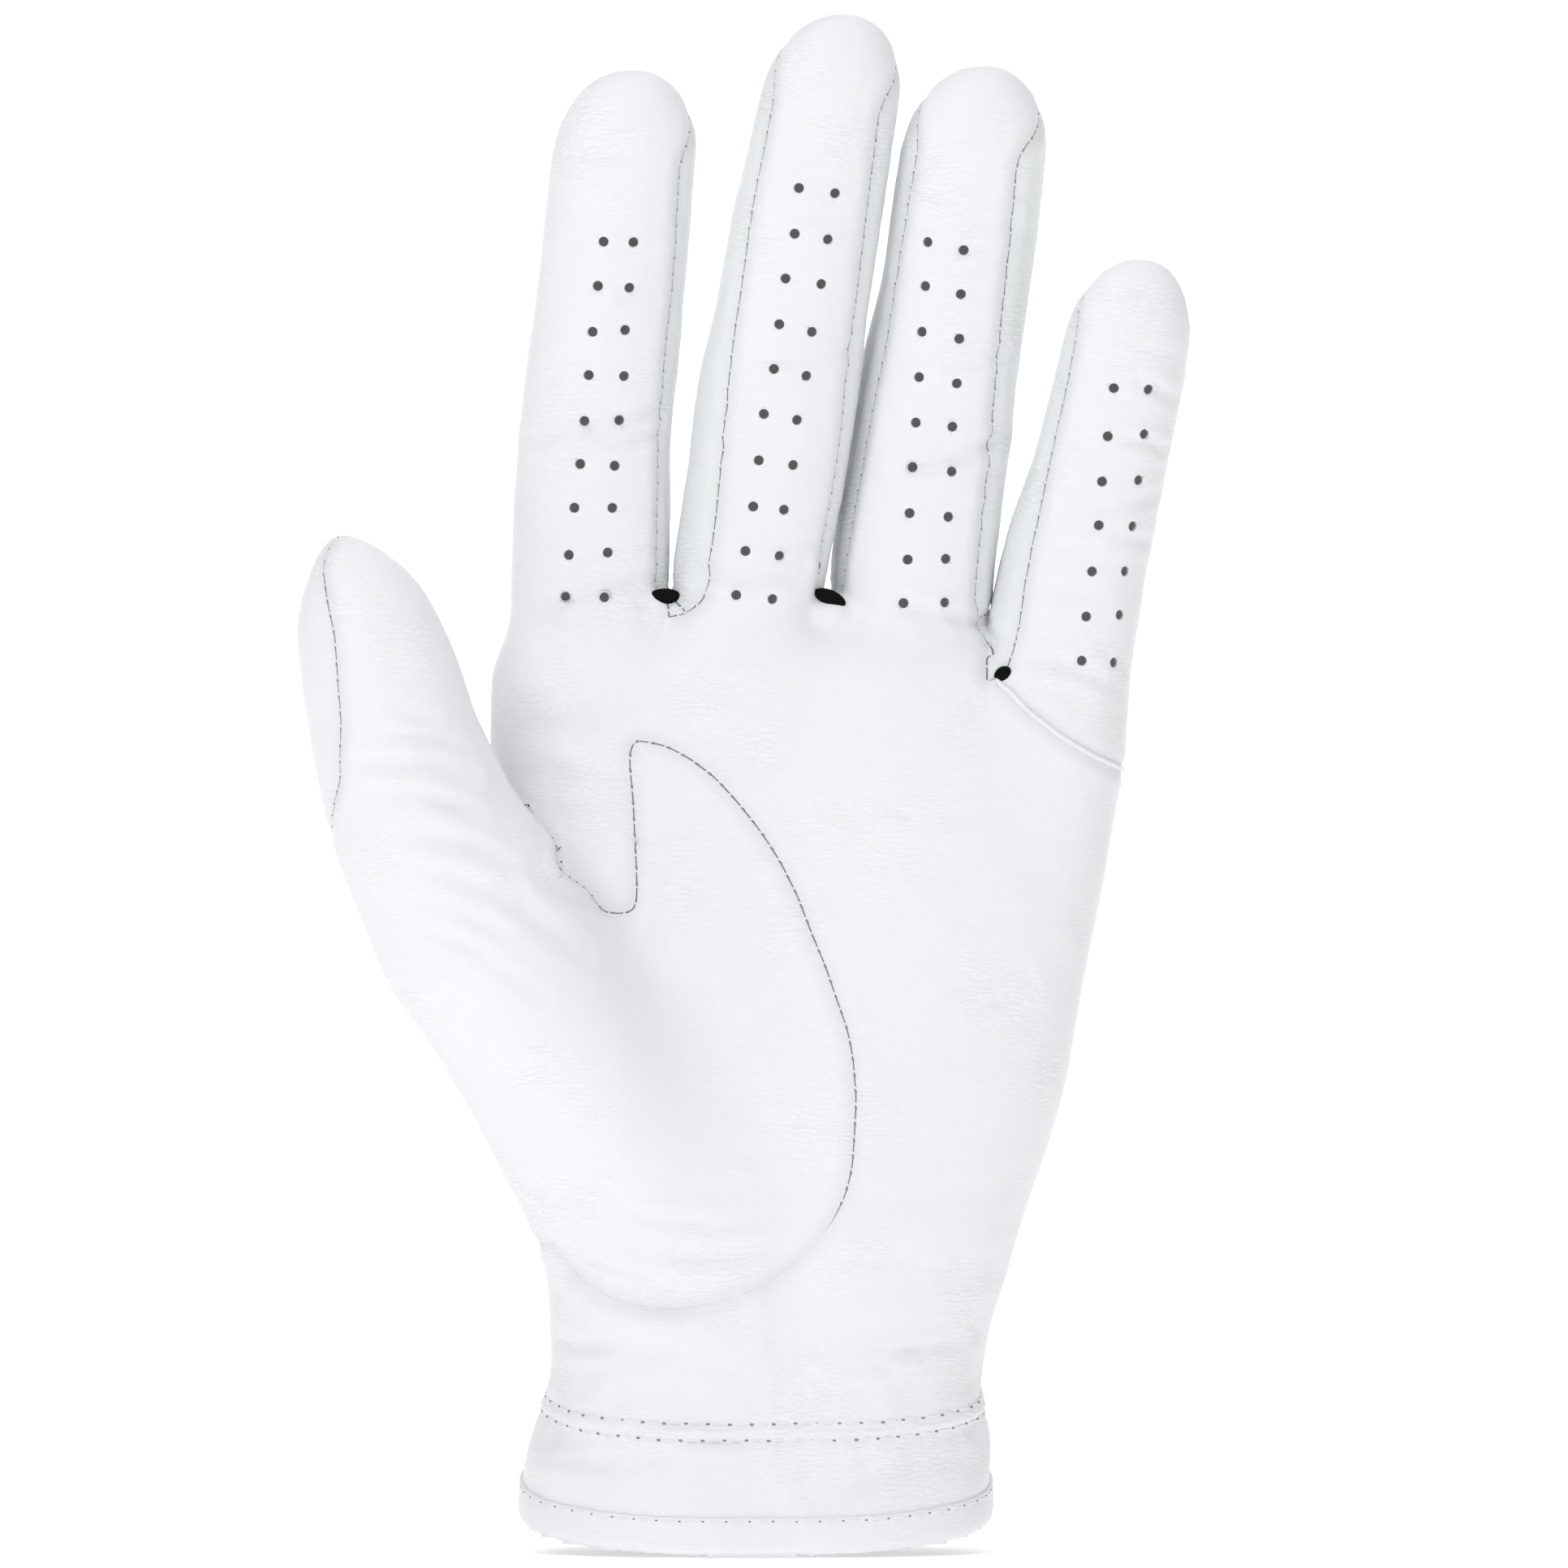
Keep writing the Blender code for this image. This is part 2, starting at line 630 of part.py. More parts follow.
def make_palm_and_back(roots, thumb_root):
    """The palm panel, the thumb panel and the back panel, with the openings between them."""
    plain = layer("palm_shell", (-LEATHER, 0.0), palm_form)
    whole = layer("hand_shell", (-LEATHER, 0.0), hand_form)
    everything = [(-FAR, -20), (FAR, -20), (FAR, 240), (-FAR, 240)]
    above_binding = prism("above_binding_cut", hem_outline(BINDING_HEIGHT + GAP), -FAR, FAR, FROM_SIDE)
    front = prism("palm_side_cut", everything, GAP / 2 - BACK_SEAM_Y, FAR, FROM_FRONT)
    behind = prism("back_side_cut", everything, -FAR, -GAP / 2 - BACK_SEAM_Y, FROM_FRONT)
    room = thumb_cutter("thumb_room_cut", GAP)
    slit = prism("slit_cut", slit_outline(SLIT_BINDING + GAP), -FAR, 0.0, FROM_FRONT)
    piece("palm_panel", plain, WHITE_LEATHER, [front, above_binding], [room, *roots])
    piece("back_panel", plain, WHITE_LEATHER, [behind, above_binding], [room, slit, *roots])
    field = thumb_cutter("thumb_panel_cut", 0.0)
    piece("thumb_panel", whole, WHITE_LEATHER, [field, above_binding], [thumb_root])


def make_gussets():
    """Small black stretch inserts that line the foot of the gaps between the fingers."""
    lining = layer("gusset_shell", GUSSET_LAYER, palm_form)
    for name, (x, low, high) in GUSSETS.items():
        outline = [(x - 3.0, low), (x + 3.0, low), (x + 3.0, high), (x - 3.0, high)]
        piece(name, lining, BLACK_STRETCH, [prism(f"{name}_cut", outline, -8.0, 8.0, FROM_FRONT)])


def make_cuff():
    """Binding of the hem and of the slit, and the elastic round the wrist."""
    slit = prism("slit_room_cut", slit_outline(SLIT_BINDING + GAP), -FAR, 0.0, FROM_FRONT)
    binding = layer("binding_shell", BINDING_LAYER, body_form)
    hem = prism("hem_cut", band_outline(0.0, BINDING_HEIGHT, HEM_TILT), -FAR, FAR, FROM_SIDE)
    piece("hem_binding", binding, WHITE_LEATHER, [hem], [slit])
    edge = prism("slit_edge_cut", slit_outline(SLIT_BINDING), -FAR, 0.0, FROM_FRONT)
    opening = prism("slit_opening_cut", slit_outline(0.0), -FAR - 1, 1.0, FROM_FRONT)
    above_hem = prism("above_hem_cut", hem_outline(0.0), -FAR, FAR, FROM_SIDE)
    piece("slit_binding", binding, WHITE_LEATHER, [edge, above_hem], [opening])
    elastic = layer("elastic_shell", ELASTIC_LAYER, body_form)
    half = ELASTIC_HEIGHT / 2
    band = prism("elastic_cut", band_outline(WRIST_SEAM_Z - half, WRIST_SEAM_Z + half, WRIST_TILT),
                 -FAR, FAR, FROM_SIDE)
    inner_slit = prism("elastic_slit_cut", slit_outline(SLIT_BINDING + 1.0), -FAR, 0.0, FROM_FRONT)
    piece("wrist_elastic", elastic, ELASTIC, [band], [inner_slit])
    label = layer("label_shell", LABEL_LAYER, body_form)
    left, right, low, high = LABEL
    outline = [(left, low), (right, low), (right, high), (left, high)]
    piece("size_label", label, LABEL_SATIN, [prism("label_cut", outline, -FAR, 0.0, FROM_FRONT)])
    return slit


def make_stitching(slit):
    """Rows of stitches as thin ribbons over the leather."""
    shell = layer("thread_shell", THREAD_LAYER, hand_form)
    line = [THUMB_PEAK, *THUMB_CURVE[:-1]]
    seam = prism("thenar_thread_cut", ribbon_outline(line, THREAD), 5.0, FAR, FROM_FRONT)
    piece("thumb_panel_thread", shell, WHITE_THREAD, [seam])
    wrist = layer("wrist_thread_shell", THREAD_LAYER, body_form)
    for name, sign in (("wrist_thread_upper", 1), ("wrist_thread_lower", -1)):
        middle = WRIST_SEAM_Z + sign * ROW_SPACING / 2
        band = prism(f"{name}_cut", band_outline(middle - THREAD / 2, middle + THREAD / 2, WRIST_TILT),
                     -FAR, FAR, FROM_SIDE)
        # The back of the rows ends beside the closure
        left, right = ANCHOR_LEFT - GAP, TAB_RIGHT + GAP
        closure = [(left, 0), (right, 0), (right, 60), (left, 60)]
        room = prism(f"{name}_room_cut", closure, -FAR, 0.0, FROM_FRONT)
        piece(name, wrist, WHITE_THREAD, [band], [slit, room])
    welt = prism("little_welt_cut", ribbon_outline(WELT, 1.2), -BACK_SEAM_Y, FAR, FROM_FRONT)
    piece("little_finger_welt", shell, WHITE_LEATHER, [welt])


def tab_outline(left, right, low, high, radius):
    """A strip with its two far corners rounded."""
    outline = [(left, low)]
    for centre_z, start in ((low + radius, -90), (high - radius, 0)):
        for step in range(6):
            angle = math.radians(start + 90 * step / 5)
            outline.append((right - radius + radius * math.cos(angle), centre_z + radius * math.sin(angle)))
    return outline + [(left, high)]


def back_of_wrist(x, z, height):
    """Where the outer face of the wrist's back is, at this height over the leather."""
    form = body_form("back_probe", height)
    tree = bvhtree.BVHTree.FromPolygons(
        [v.co for v in form.data.vertices], [tuple(p.vertices) for p in form.data.polygons]
    )
    hit = tree.ray_cast(Vector((x, FAR, z)) * MM, Vector((0, -1, 0)))[0]
    bpy.data.objects.remove(form)
    return hit.y / MM


def make_closure():
    """The pull tab with its hooks, the loops that it grips, and its sewn end."""
    middle = (TAB_LOW + TAB_HIGH) / 2
    hinge = (TAB_HINGE, back_of_wrist(TAB_HINGE, middle, TAB_LAYER[0]), middle)
    tab_shape = tab_outline(TAB_HINGE, TAB_RIGHT, TAB_LOW, TAB_HIGH, TAB_ROUND)
    hook_shape = tab_outline(HOOKS_LEFT, TAB_RIGHT - 1.5, TAB_LOW + 1.5, TAB_HIGH - 1.5, TAB_ROUND - 1.5)
    loop_shape = tab_outline(HOOKS_LEFT + 2.5, LOOPS_RIGHT, TAB_LOW - 1.0, TAB_HIGH + 1.0, 2.0)
    anchor_shape = tab_outline(ANCHOR_LEFT, TAB_HINGE - GAP, TAB_LOW - 1.0, TAB_HIGH + 1.0, 0.5)
    for name, shape, depths, spec, moves in (
        ("closure_tab", tab_shape, TAB_LAYER, WHITE_LEATHER, True),
        ("tab_hooks", hook_shape, HOOK_LAYER, HOOK_AND_LOOP, True),
        ("loop_patch", loop_shape, LOOP_LAYER, HOOK_AND_LOOP, False),
        ("tab_anchor", anchor_shape, ANCHOR_LAYER, WHITE_LEATHER, False),
    ):
        shell = layer(f"{name}_shell", depths, body_form)
        made = piece(name, shell, spec, [prism(f"{name}_cut", shape, -FAR, 0.0, FROM_FRONT)])
        if moves:
            set_joint_origin(made, hinge)


def main():
    roots = [make_finger(name, spec) for name, spec in FINGERS.items()]
    thumb_root = make_thumb()
    make_palm_and_back(roots, thumb_root)
    make_gussets()
    slit = make_cuff()
    make_stitching(slit)
    make_closure()


clear_scene()
glove = new_collection("golf_glove")
helpers = new_collection("cutters")
main()
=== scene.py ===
"""A left-hand golf glove of thin white leather, filled out as on a hand, palm towards the camera.

The glove is put together in the order of its making: the skin that the leather follows, the cut of
the panels, the seams and stitches, the wrist, and the closure at the back. Sizes are millimetres,
in the frame of the part: X to the little finger, Z up the hand, and the palm towards -Y.
"""

import math

import bpy
import numpy as np
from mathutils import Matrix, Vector, noise
from mathutils.bvhtree import BVHTree
from mathutils.kdtree import KDTree


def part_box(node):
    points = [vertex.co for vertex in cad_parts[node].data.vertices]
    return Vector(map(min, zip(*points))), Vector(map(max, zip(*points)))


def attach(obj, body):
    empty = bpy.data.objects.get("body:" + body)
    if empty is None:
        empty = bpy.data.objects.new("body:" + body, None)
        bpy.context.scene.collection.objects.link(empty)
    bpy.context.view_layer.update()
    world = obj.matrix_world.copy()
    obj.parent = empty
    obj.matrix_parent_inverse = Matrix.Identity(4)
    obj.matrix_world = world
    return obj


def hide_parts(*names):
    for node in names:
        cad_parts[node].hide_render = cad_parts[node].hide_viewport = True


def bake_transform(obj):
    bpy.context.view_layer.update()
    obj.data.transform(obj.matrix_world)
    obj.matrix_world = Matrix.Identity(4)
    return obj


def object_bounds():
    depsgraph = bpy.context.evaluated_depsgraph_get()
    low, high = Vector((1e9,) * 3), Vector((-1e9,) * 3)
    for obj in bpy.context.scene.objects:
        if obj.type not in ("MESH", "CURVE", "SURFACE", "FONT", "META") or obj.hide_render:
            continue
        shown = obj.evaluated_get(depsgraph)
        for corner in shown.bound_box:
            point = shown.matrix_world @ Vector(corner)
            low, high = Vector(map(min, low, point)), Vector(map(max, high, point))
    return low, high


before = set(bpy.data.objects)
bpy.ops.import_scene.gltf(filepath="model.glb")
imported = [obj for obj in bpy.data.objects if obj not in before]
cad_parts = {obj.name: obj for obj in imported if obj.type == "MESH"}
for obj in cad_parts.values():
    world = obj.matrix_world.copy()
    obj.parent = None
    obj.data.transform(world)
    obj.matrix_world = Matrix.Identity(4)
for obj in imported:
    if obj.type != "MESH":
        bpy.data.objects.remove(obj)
cad_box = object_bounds()

MM = 0.001


# --- Stand, camera and light -------------------------------------------------------------------
# The glove stands on the front of its cuff on a wide white sweep, before a long lens, under four
# large soft lights. The sweep reaches behind and in front, so other angles see it white too.

low, high = (np.array(corner) / MM for corner in cad_box)
FLOOR = low[2] - 0.6
SWEEP_BACK, SWEEP_FRONT, SWEEP_WIDE, SWEEP_BEND, LAMP_REACH = 3800.0, -3000.0, 2600.0, 700.0, 500.0
profile = [(SWEEP_FRONT, FLOOR), (LAMP_REACH, FLOOR), (SWEEP_BACK - SWEEP_BEND, FLOOR)]
for step in range(1, 13):
    turn = math.pi / 2 * step / 12
    profile.append((SWEEP_BACK - SWEEP_BEND * (1 - math.sin(turn)),
                    FLOOR + SWEEP_BEND * (1 - math.cos(turn))))
profile.append((SWEEP_BACK, FLOOR + 2200.0))
points = [(side * SWEEP_WIDE * MM, y * MM, z * MM) for y, z in profile for side in (-1, 1)]
faces = [(2 * i, 2 * i + 1, 2 * i + 3, 2 * i + 2) for i in range(len(profile) - 1)]
sweep_mesh = bpy.data.meshes.new("sweep")
sweep_mesh.from_pydata(points, [], faces)
sweep_mesh.shade_smooth()
sweep = bpy.data.objects.new("sweep", sweep_mesh)
bpy.context.scene.collection.objects.link(sweep)
# The far part glows more than the near part
for name, glow in (("white_paper", 0.35), ("far_paper", 1.0)):
    paper = bpy.data.materials.new(name)
    paper.use_nodes = True
    surface = paper.node_tree.nodes["Principled BSDF"]
    surface.inputs["Base Color"].default_value = (0.93, 0.93, 0.93, 1)
    surface.inputs["Roughness"].default_value = 0.9
    surface.inputs["Emission Color"].default_value = (1, 1, 1, 1)
    surface.inputs["Emission Strength"].default_value = glow
    sweep_mesh.materials.append(paper)
sweep_mesh.polygons.foreach_set("material_index", [0] + [1] * (len(faces) - 1))

LENS_DISTANCE = 2600.0
VIEW_MIDDLE = (4.1, 0.0, 103.0)
VIEW_WIDTH = 222.2
camera_data = bpy.data.cameras.new("long_lens")
camera_data.sensor_width = 36.0
camera_data.lens = 36.0 * LENS_DISTANCE / VIEW_WIDTH
camera_data.clip_end = 20.0
camera = bpy.data.objects.new("camera", camera_data)
camera.location = (VIEW_MIDDLE[0] * MM, (VIEW_MIDDLE[1] - LENS_DISTANCE) * MM, VIEW_MIDDLE[2] * MM)
camera.rotation_euler = (math.radians(90), 0, 0)
bpy.context.scene.collection.objects.link(camera)
bpy.context.scene.camera = camera

world = bpy.data.worlds.new("studio")
world.use_nodes = True
world.node_tree.nodes["Background"].inputs["Color"].default_value = (1.0, 1.0, 1.0, 1)
world.node_tree.nodes["Background"].inputs["Strength"].default_value = 0.47
bpy.context.scene.world = world
bpy.context.scene.view_settings.view_transform = "Standard"
for name, place, size, power in (
    ("key_light", (-700, -1100, 900), 700, 7.3),
    ("fill_light", (900, -1100, 350), 900, 2.1),
    ("top_light", (0, -100, 1300), 900, 4.0),
    ("back_light", (300, 850, 900), 800, 1.8),
):
    light_data = bpy.data.lights.new(name, "AREA")
    light_data.size = size * MM
    light_data.energy = power
    light = bpy.data.objects.new(name, light_data)
    light.location = Vector(place) * MM
    light.rotation_euler = (Vector((0, 0, 100 * MM)) - light.location).to_track_quat("-Z", "Y").to_euler()
    bpy.context.scene.collection.objects.link(light)


# --- The skin that the leather follows ---------------------------------------------------------
# The outer face of the whole glove as one smooth surface: a flattened tube for wrist and palm, a
# rounded tube for each finger, and a thicker bent tube for the thumb and the ball of the thumb.

def eased(points, reach=7.0):
    """A smooth value along a height, from (height, value) points."""
    heights, values = zip(*points)
    step = 0.5
    fine = np.arange(heights[0] - 3 * reach, heights[-1] + 3 * reach, step)
    rough = np.interp(fine, heights, values)
    start = (values[1] - values[0]) / (heights[1] - heights[0])
    end = (values[-1] - values[-2]) / (heights[-1] - heights[-2])
    rough = np.where(fine < heights[0], values[0] + (fine - heights[0]) * start, rough)
    rough = np.where(fine > heights[-1], values[-1] + (fine - heights[-1]) * end, rough)
    window = np.hanning(int(reach / step) + 2)
    smooth = np.convolve(rough, window / window.sum(), mode="same")
    edge = len(window)
    smooth[:edge], smooth[-edge:] = rough[:edge], rough[-edge:]
    return lambda height: np.interp(height, fine, smooth)


def merged(a, b, reach):
    """Two fields as one, with a soft fillet where they meet."""
    share = np.clip(0.5 + 0.5 * (b - a) / reach, 0.0, 1.0)
    return b * (1 - share) + a * share - reach * share * (1 - share)


PALM_TOP, PALM_DOME, PALM_ROUND = 117.0, 8.6, 2.45
palm_left = eased([(-14, -33.4), (1.4, -32.8), (6, -32.9), (12, -31), (16, -29.7), (21, -29.0), (32, -29.2),
                   (39, -31.0), (46, -33.2), (52, -34.6), (62, -35.8), (80, -36.5), (105, -36.1),
                   (118, -35.2), (130, -34.0)])
palm_right = eased([(-14, 33.0), (1.4, 33.0), (6, 33.3), (12, 32.8), (18.6, 32.0), (25.5, 33.3), (39, 37.2),
                    (46, 39.7), (53, 42.0), (60, 43.9), (70, 45.7), (81, 47.4), (91, 48.4), (101, 48.6),
                    (108, 47.0), (116, 41.0), (122, 35.0), (130, 30.0)])
palm_front = eased([(-14, -24.2), (0, -22.4), (8, -20.8), (16, -19.2), (26, -18.6), (40, -19.2),
                    (60, -18.6), (80, -16.8), (100, -14.4), (112, -12.6), (122, -11.2), (130, -10.0)])
palm_back = eased([(-14, 23.5), (0, 21.8), (8, 20.4), (16, 19.0), (26, 18.2), (40, 17.4), (60, 16.0),
                   (80, 14.8), (100, 13.8), (112, 12.8), (122, 11.6), (130, 10.6)])


def palm_field(x, y, z):
    left, right, front, back = palm_left(z), palm_right(z), palm_front(z), palm_back(z)
    half, deep = (right - left) / 2, (back - front) / 2
    # The palm is hollow in the middle, between the ball of the thumb and the heel of the hand
    hollow = 2.6 * np.exp(-(((x - 3) / 15) ** 2) - ((z - 84) / 26) ** 2)
    groove = 1.1 * np.exp(-(((x - 6) / 6) ** 2) - ((z - 30) / 22) ** 2)
    across = np.abs((x - (left + right) / 2) / half)
    through = np.abs((y - (front + back) / 2) / deep)
    above = np.clip((z - PALM_TOP) / PALM_DOME, 0, None)
    field = ((across**PALM_ROUND + through**PALM_ROUND + above**PALM_ROUND) ** (1 / PALM_ROUND) - 1) * deep
    return field + (hollow + groove) * np.clip(-y / 8.0, 0, 1)


# Each finger: middle across, half width across, middle through, half width through, by height; where
# its domed tip begins and ends; root, tip and hinges as the joints have them; and the side strips:
# degrees round from the front to the strip at the root and at the tip, and the strip's own width
FINGERS = {
    "index": dict(
        middle=[(104, -24.4), (118, -23.9), (132.5, -23.5), (153, -22.7), (174, -20.2), (194.6, -18.2),
                (204, -17.4)],
        half=[(104, 9.6), (118, 10.4), (130, 11.2), (143, 11.1), (153, 10.8), (174, 10.5), (184, 10.25),
              (196, 9.9)],
        depth=[(104, 0.0), (130, -0.4), (150, -1.2), (172, -3.4), (190, -6.4), (204, -8.6)],
        thick=[(104, 8.6), (120, 9.6), (140, 9.5), (165, 9.2), (185, 8.7), (196, 8.3)],
        dome=(191.0, 203.8), root=(-23.6, -0.5, 128.5), tip=(-17.2, -7.5, 202.8), hinges=(7.0, 26.0),
        bends=((0.4, 13.6), (14.0, 38.0)), sides={"radial": None, "ulnar": (58.0, 52.0, 68.0)}),
    "middle": dict(
        middle=[(104, -4.4), (118, -2.9), (133.6, -0.5), (143, 1.2), (153, 2.7), (163.5, 4.1), (184, 7.5),
                (194.6, 9.5), (201.5, 10.8), (212, 12.6)],
        half=[(104, 9.4), (118, 9.8), (130, 10.4), (143, 10.9), (163.5, 11.0), (184, 10.6), (194, 10.1),
              (204, 9.7)],
        depth=[(104, -0.4), (130, -1.9), (150, -3.4), (172, -5.6), (195, -8.6), (212, -11.0)],
        thick=[(104, 8.6), (120, 9.6), (140, 9.6), (165, 9.4), (185, 9.0), (204, 8.4)],
        dome=(198.6, 211.6), root=(-1.2, -0.5, 128.5), tip=(12.2, -9.0, 210.6), hinges=(7.0, 28.0),
        bends=((0.4, 13.6), (15.0, 41.0)),
        sides={"radial": (32.0, 54.0, 76.0), "ulnar": (64.0, 46.0, 62.0)}),
    "ring": dict(
        middle=[(104, 20.6), (118, 21.6), (132.5, 22.7), (143, 24.1), (153, 25.6), (163.5, 27.1),
                (181, 29.5), (194.6, 31.2), (205, 32.4)],
        half=[(104, 9.2), (118, 10.4), (130, 11.1), (143, 11.0), (153, 10.8), (163.5, 10.5), (181, 10.5),
              (188, 10.4), (196, 10.1)],
        depth=[(104, 0.8), (130, 1.4), (150, 0.8), (172, -1.9), (190, -5.2), (205, -8.0)],
        thick=[(104, 8.4), (120, 9.4), (140, 9.4), (165, 9.1), (185, 8.7), (196, 8.4)],
        dome=(190.8, 204.4), root=(23.2, -0.5, 128.5), tip=(32.0, -7.5, 203.4), hinges=(7.0, 26.0),
        bends=((0.4, 13.6), (14.0, 38.0)),
        sides={"radial": (64.0, 48.0, 62.0), "ulnar": (52.0, 34.0, 72.0)}),
    "little": dict(
        middle=[(94, 40.6), (104, 41.7), (118.7, 43.4), (125.6, 44.3), (132.5, 45.4), (139.4, 47.0),
                (146.3, 48.5), (153.2, 50.0), (160, 51.5), (167, 52.8), (178, 54.4)],
        half=[(94, 7.6), (104, 8.6), (112, 9.4), (120, 10.0), (126, 10.2), (133, 9.9), (146, 9.6),
              (160, 9.3), (170, 8.9)],
        depth=[(94, 0.6), (118, 0.4), (135, -0.4), (155, -2.4), (168, -4.2), (178, -5.8)],
        thick=[(94, 8.0), (110, 9.0), (125, 8.9), (145, 8.4), (160, 8.0), (170, 7.7)],
        dome=(163.6, 177.3), root=(43.6, 0.5, 117.5), tip=(54.2, -5.0, 176.3), hinges=(6.0, 20.5),
        bends=((0.2, 11.8), (11.8, 29.2)), sides={"radial": (40.0, 56.0, 72.0), "ulnar": None}),
}
FINGER_ROUND = 2.25
FINGER_FOOT, FOOT_DOME = 6.0, 36.0
for spec in FINGERS.values():
    for key in ("middle", "half", "depth", "thick"):
        spec[key] = eased(spec[key], 8.0)
    spec["axis"] = np.subtract(spec["tip"], spec["root"])
    spec["axis"] = spec["axis"] / np.linalg.norm(spec["axis"])


def finger_place(spec, x, y, z):
    """Where a point lies in a finger: across and through in half widths, and out past its ends."""
    start, end = spec["dome"]
    foot = spec["root"][2] - FINGER_FOOT
    across = (x - spec["middle"](z)) / spec["half"](z)
    through = (y - spec["depth"](z)) / spec["thick"](z)
    above, below = (z - start) / (end - start), (foot - z) / FOOT_DOME
    return across, through, np.clip(above, 0, None) + np.clip(below, 0, None)


def finger_field(spec, x, y, z):
    across, through, above = finger_place(spec, x, y, z)
    p = FINGER_ROUND
    return ((np.abs(across) ** p + np.abs(through) ** p + above**p) ** (1 / p) - 1) * spec["thick"](z)


THUMB_PATH = np.array([(1.0, 1.0, 27.0), (-9.0, -4.5, 41.0), (-19.5, -10.0, 54.0), (-29.3, -14.6, 68.0),
                       (-38.4, -18.4, 82.5), (-45.9, -21.0, 96.0), (-50.2, -22.4, 108.0),
                       (-52.6, -23.0, 118.0),
                       (-54.7, -23.3, 125.5), (-56.6, -23.5, 131.6), (-57.6, -23.5, 135.4)])
THUMB_RADII = np.array([8.0, 12.2, 14.2, 14.8, 15.2, 13.4, 11.9, 11.2, 9.6, 6.0, 2.9])
fine = np.linspace(0, 1, 90)
rough = np.concatenate([[0], np.cumsum(np.linalg.norm(np.diff(THUMB_PATH, axis=0), axis=1))])
thumb_height = fine * rough[-1]
ease = [eased(list(zip(rough, THUMB_PATH[:, i])), 9.0)(thumb_height) for i in range(3)]
thumb_points = np.stack(ease, axis=1)
thumb_radii = eased(list(zip(rough, THUMB_RADII)), 7.0)(thumb_height)


def thumb_field(x, y, z):
    place = np.stack([np.ravel(x), np.ravel(y), np.ravel(z)], axis=1)
    best = np.full(len(place), 1e3)
    for a, b, ra, rb in zip(thumb_points, thumb_points[1:], thumb_radii, thumb_radii[1:]):
        along = b - a
        share = np.clip((place - a) @ along / (along @ along), 0, 1)
        reach = np.linalg.norm(place - a - share[:, None] * along, axis=1)
        best = np.minimum(best, reach - (ra + share * (rb - ra)))
    return best.reshape(np.shape(x))


ROOT_FILLET, THUMB_FILLET = 6.0, 8.0
# Where two fingers part: x and z of the little web between them, and how far it reaches front to back
CROTCHES = {"index_middle": (-12.9, 129.5), "middle_ring": (10.6, 129.3), "ring_little": (35.0, 118.5)}
WEB_RADIUS, WEB_HALF_DEEP, WEB_FILLET = 2.3, 5.0, 2.5


def hand_field(x, y, z):
    palm = palm_field(x, y, z)
    near = (x < 16) & (z > 10) & (z < 146)
    thumb = np.full(np.shape(x), 60.0)
    thumb[near] = thumb_field(x[near], y[near], z[near])
    body = merged(palm, thumb, THUMB_FILLET)
    whole = body
    for spec in FINGERS.values():
        near = z > spec["root"][2] - FINGER_FOOT - FOOT_DOME - 14
        finger = np.full(np.shape(x), 60.0)
        finger[near] = finger_field(spec, x[near], y[near], z[near])
        whole = np.minimum(whole, merged(body, finger, ROOT_FILLET))
    for cx, cz in CROTCHES.values():
        outside = np.maximum(np.abs(y) - WEB_HALF_DEEP, 0)
        web = np.sqrt((x - cx) ** 2 + (z - cz + 2.2) ** 2 + outside**2) - WEB_RADIUS
        whole = merged(whole, web, WEB_FILLET)
    return whole


CELL = 0.8
BLOCK = 4


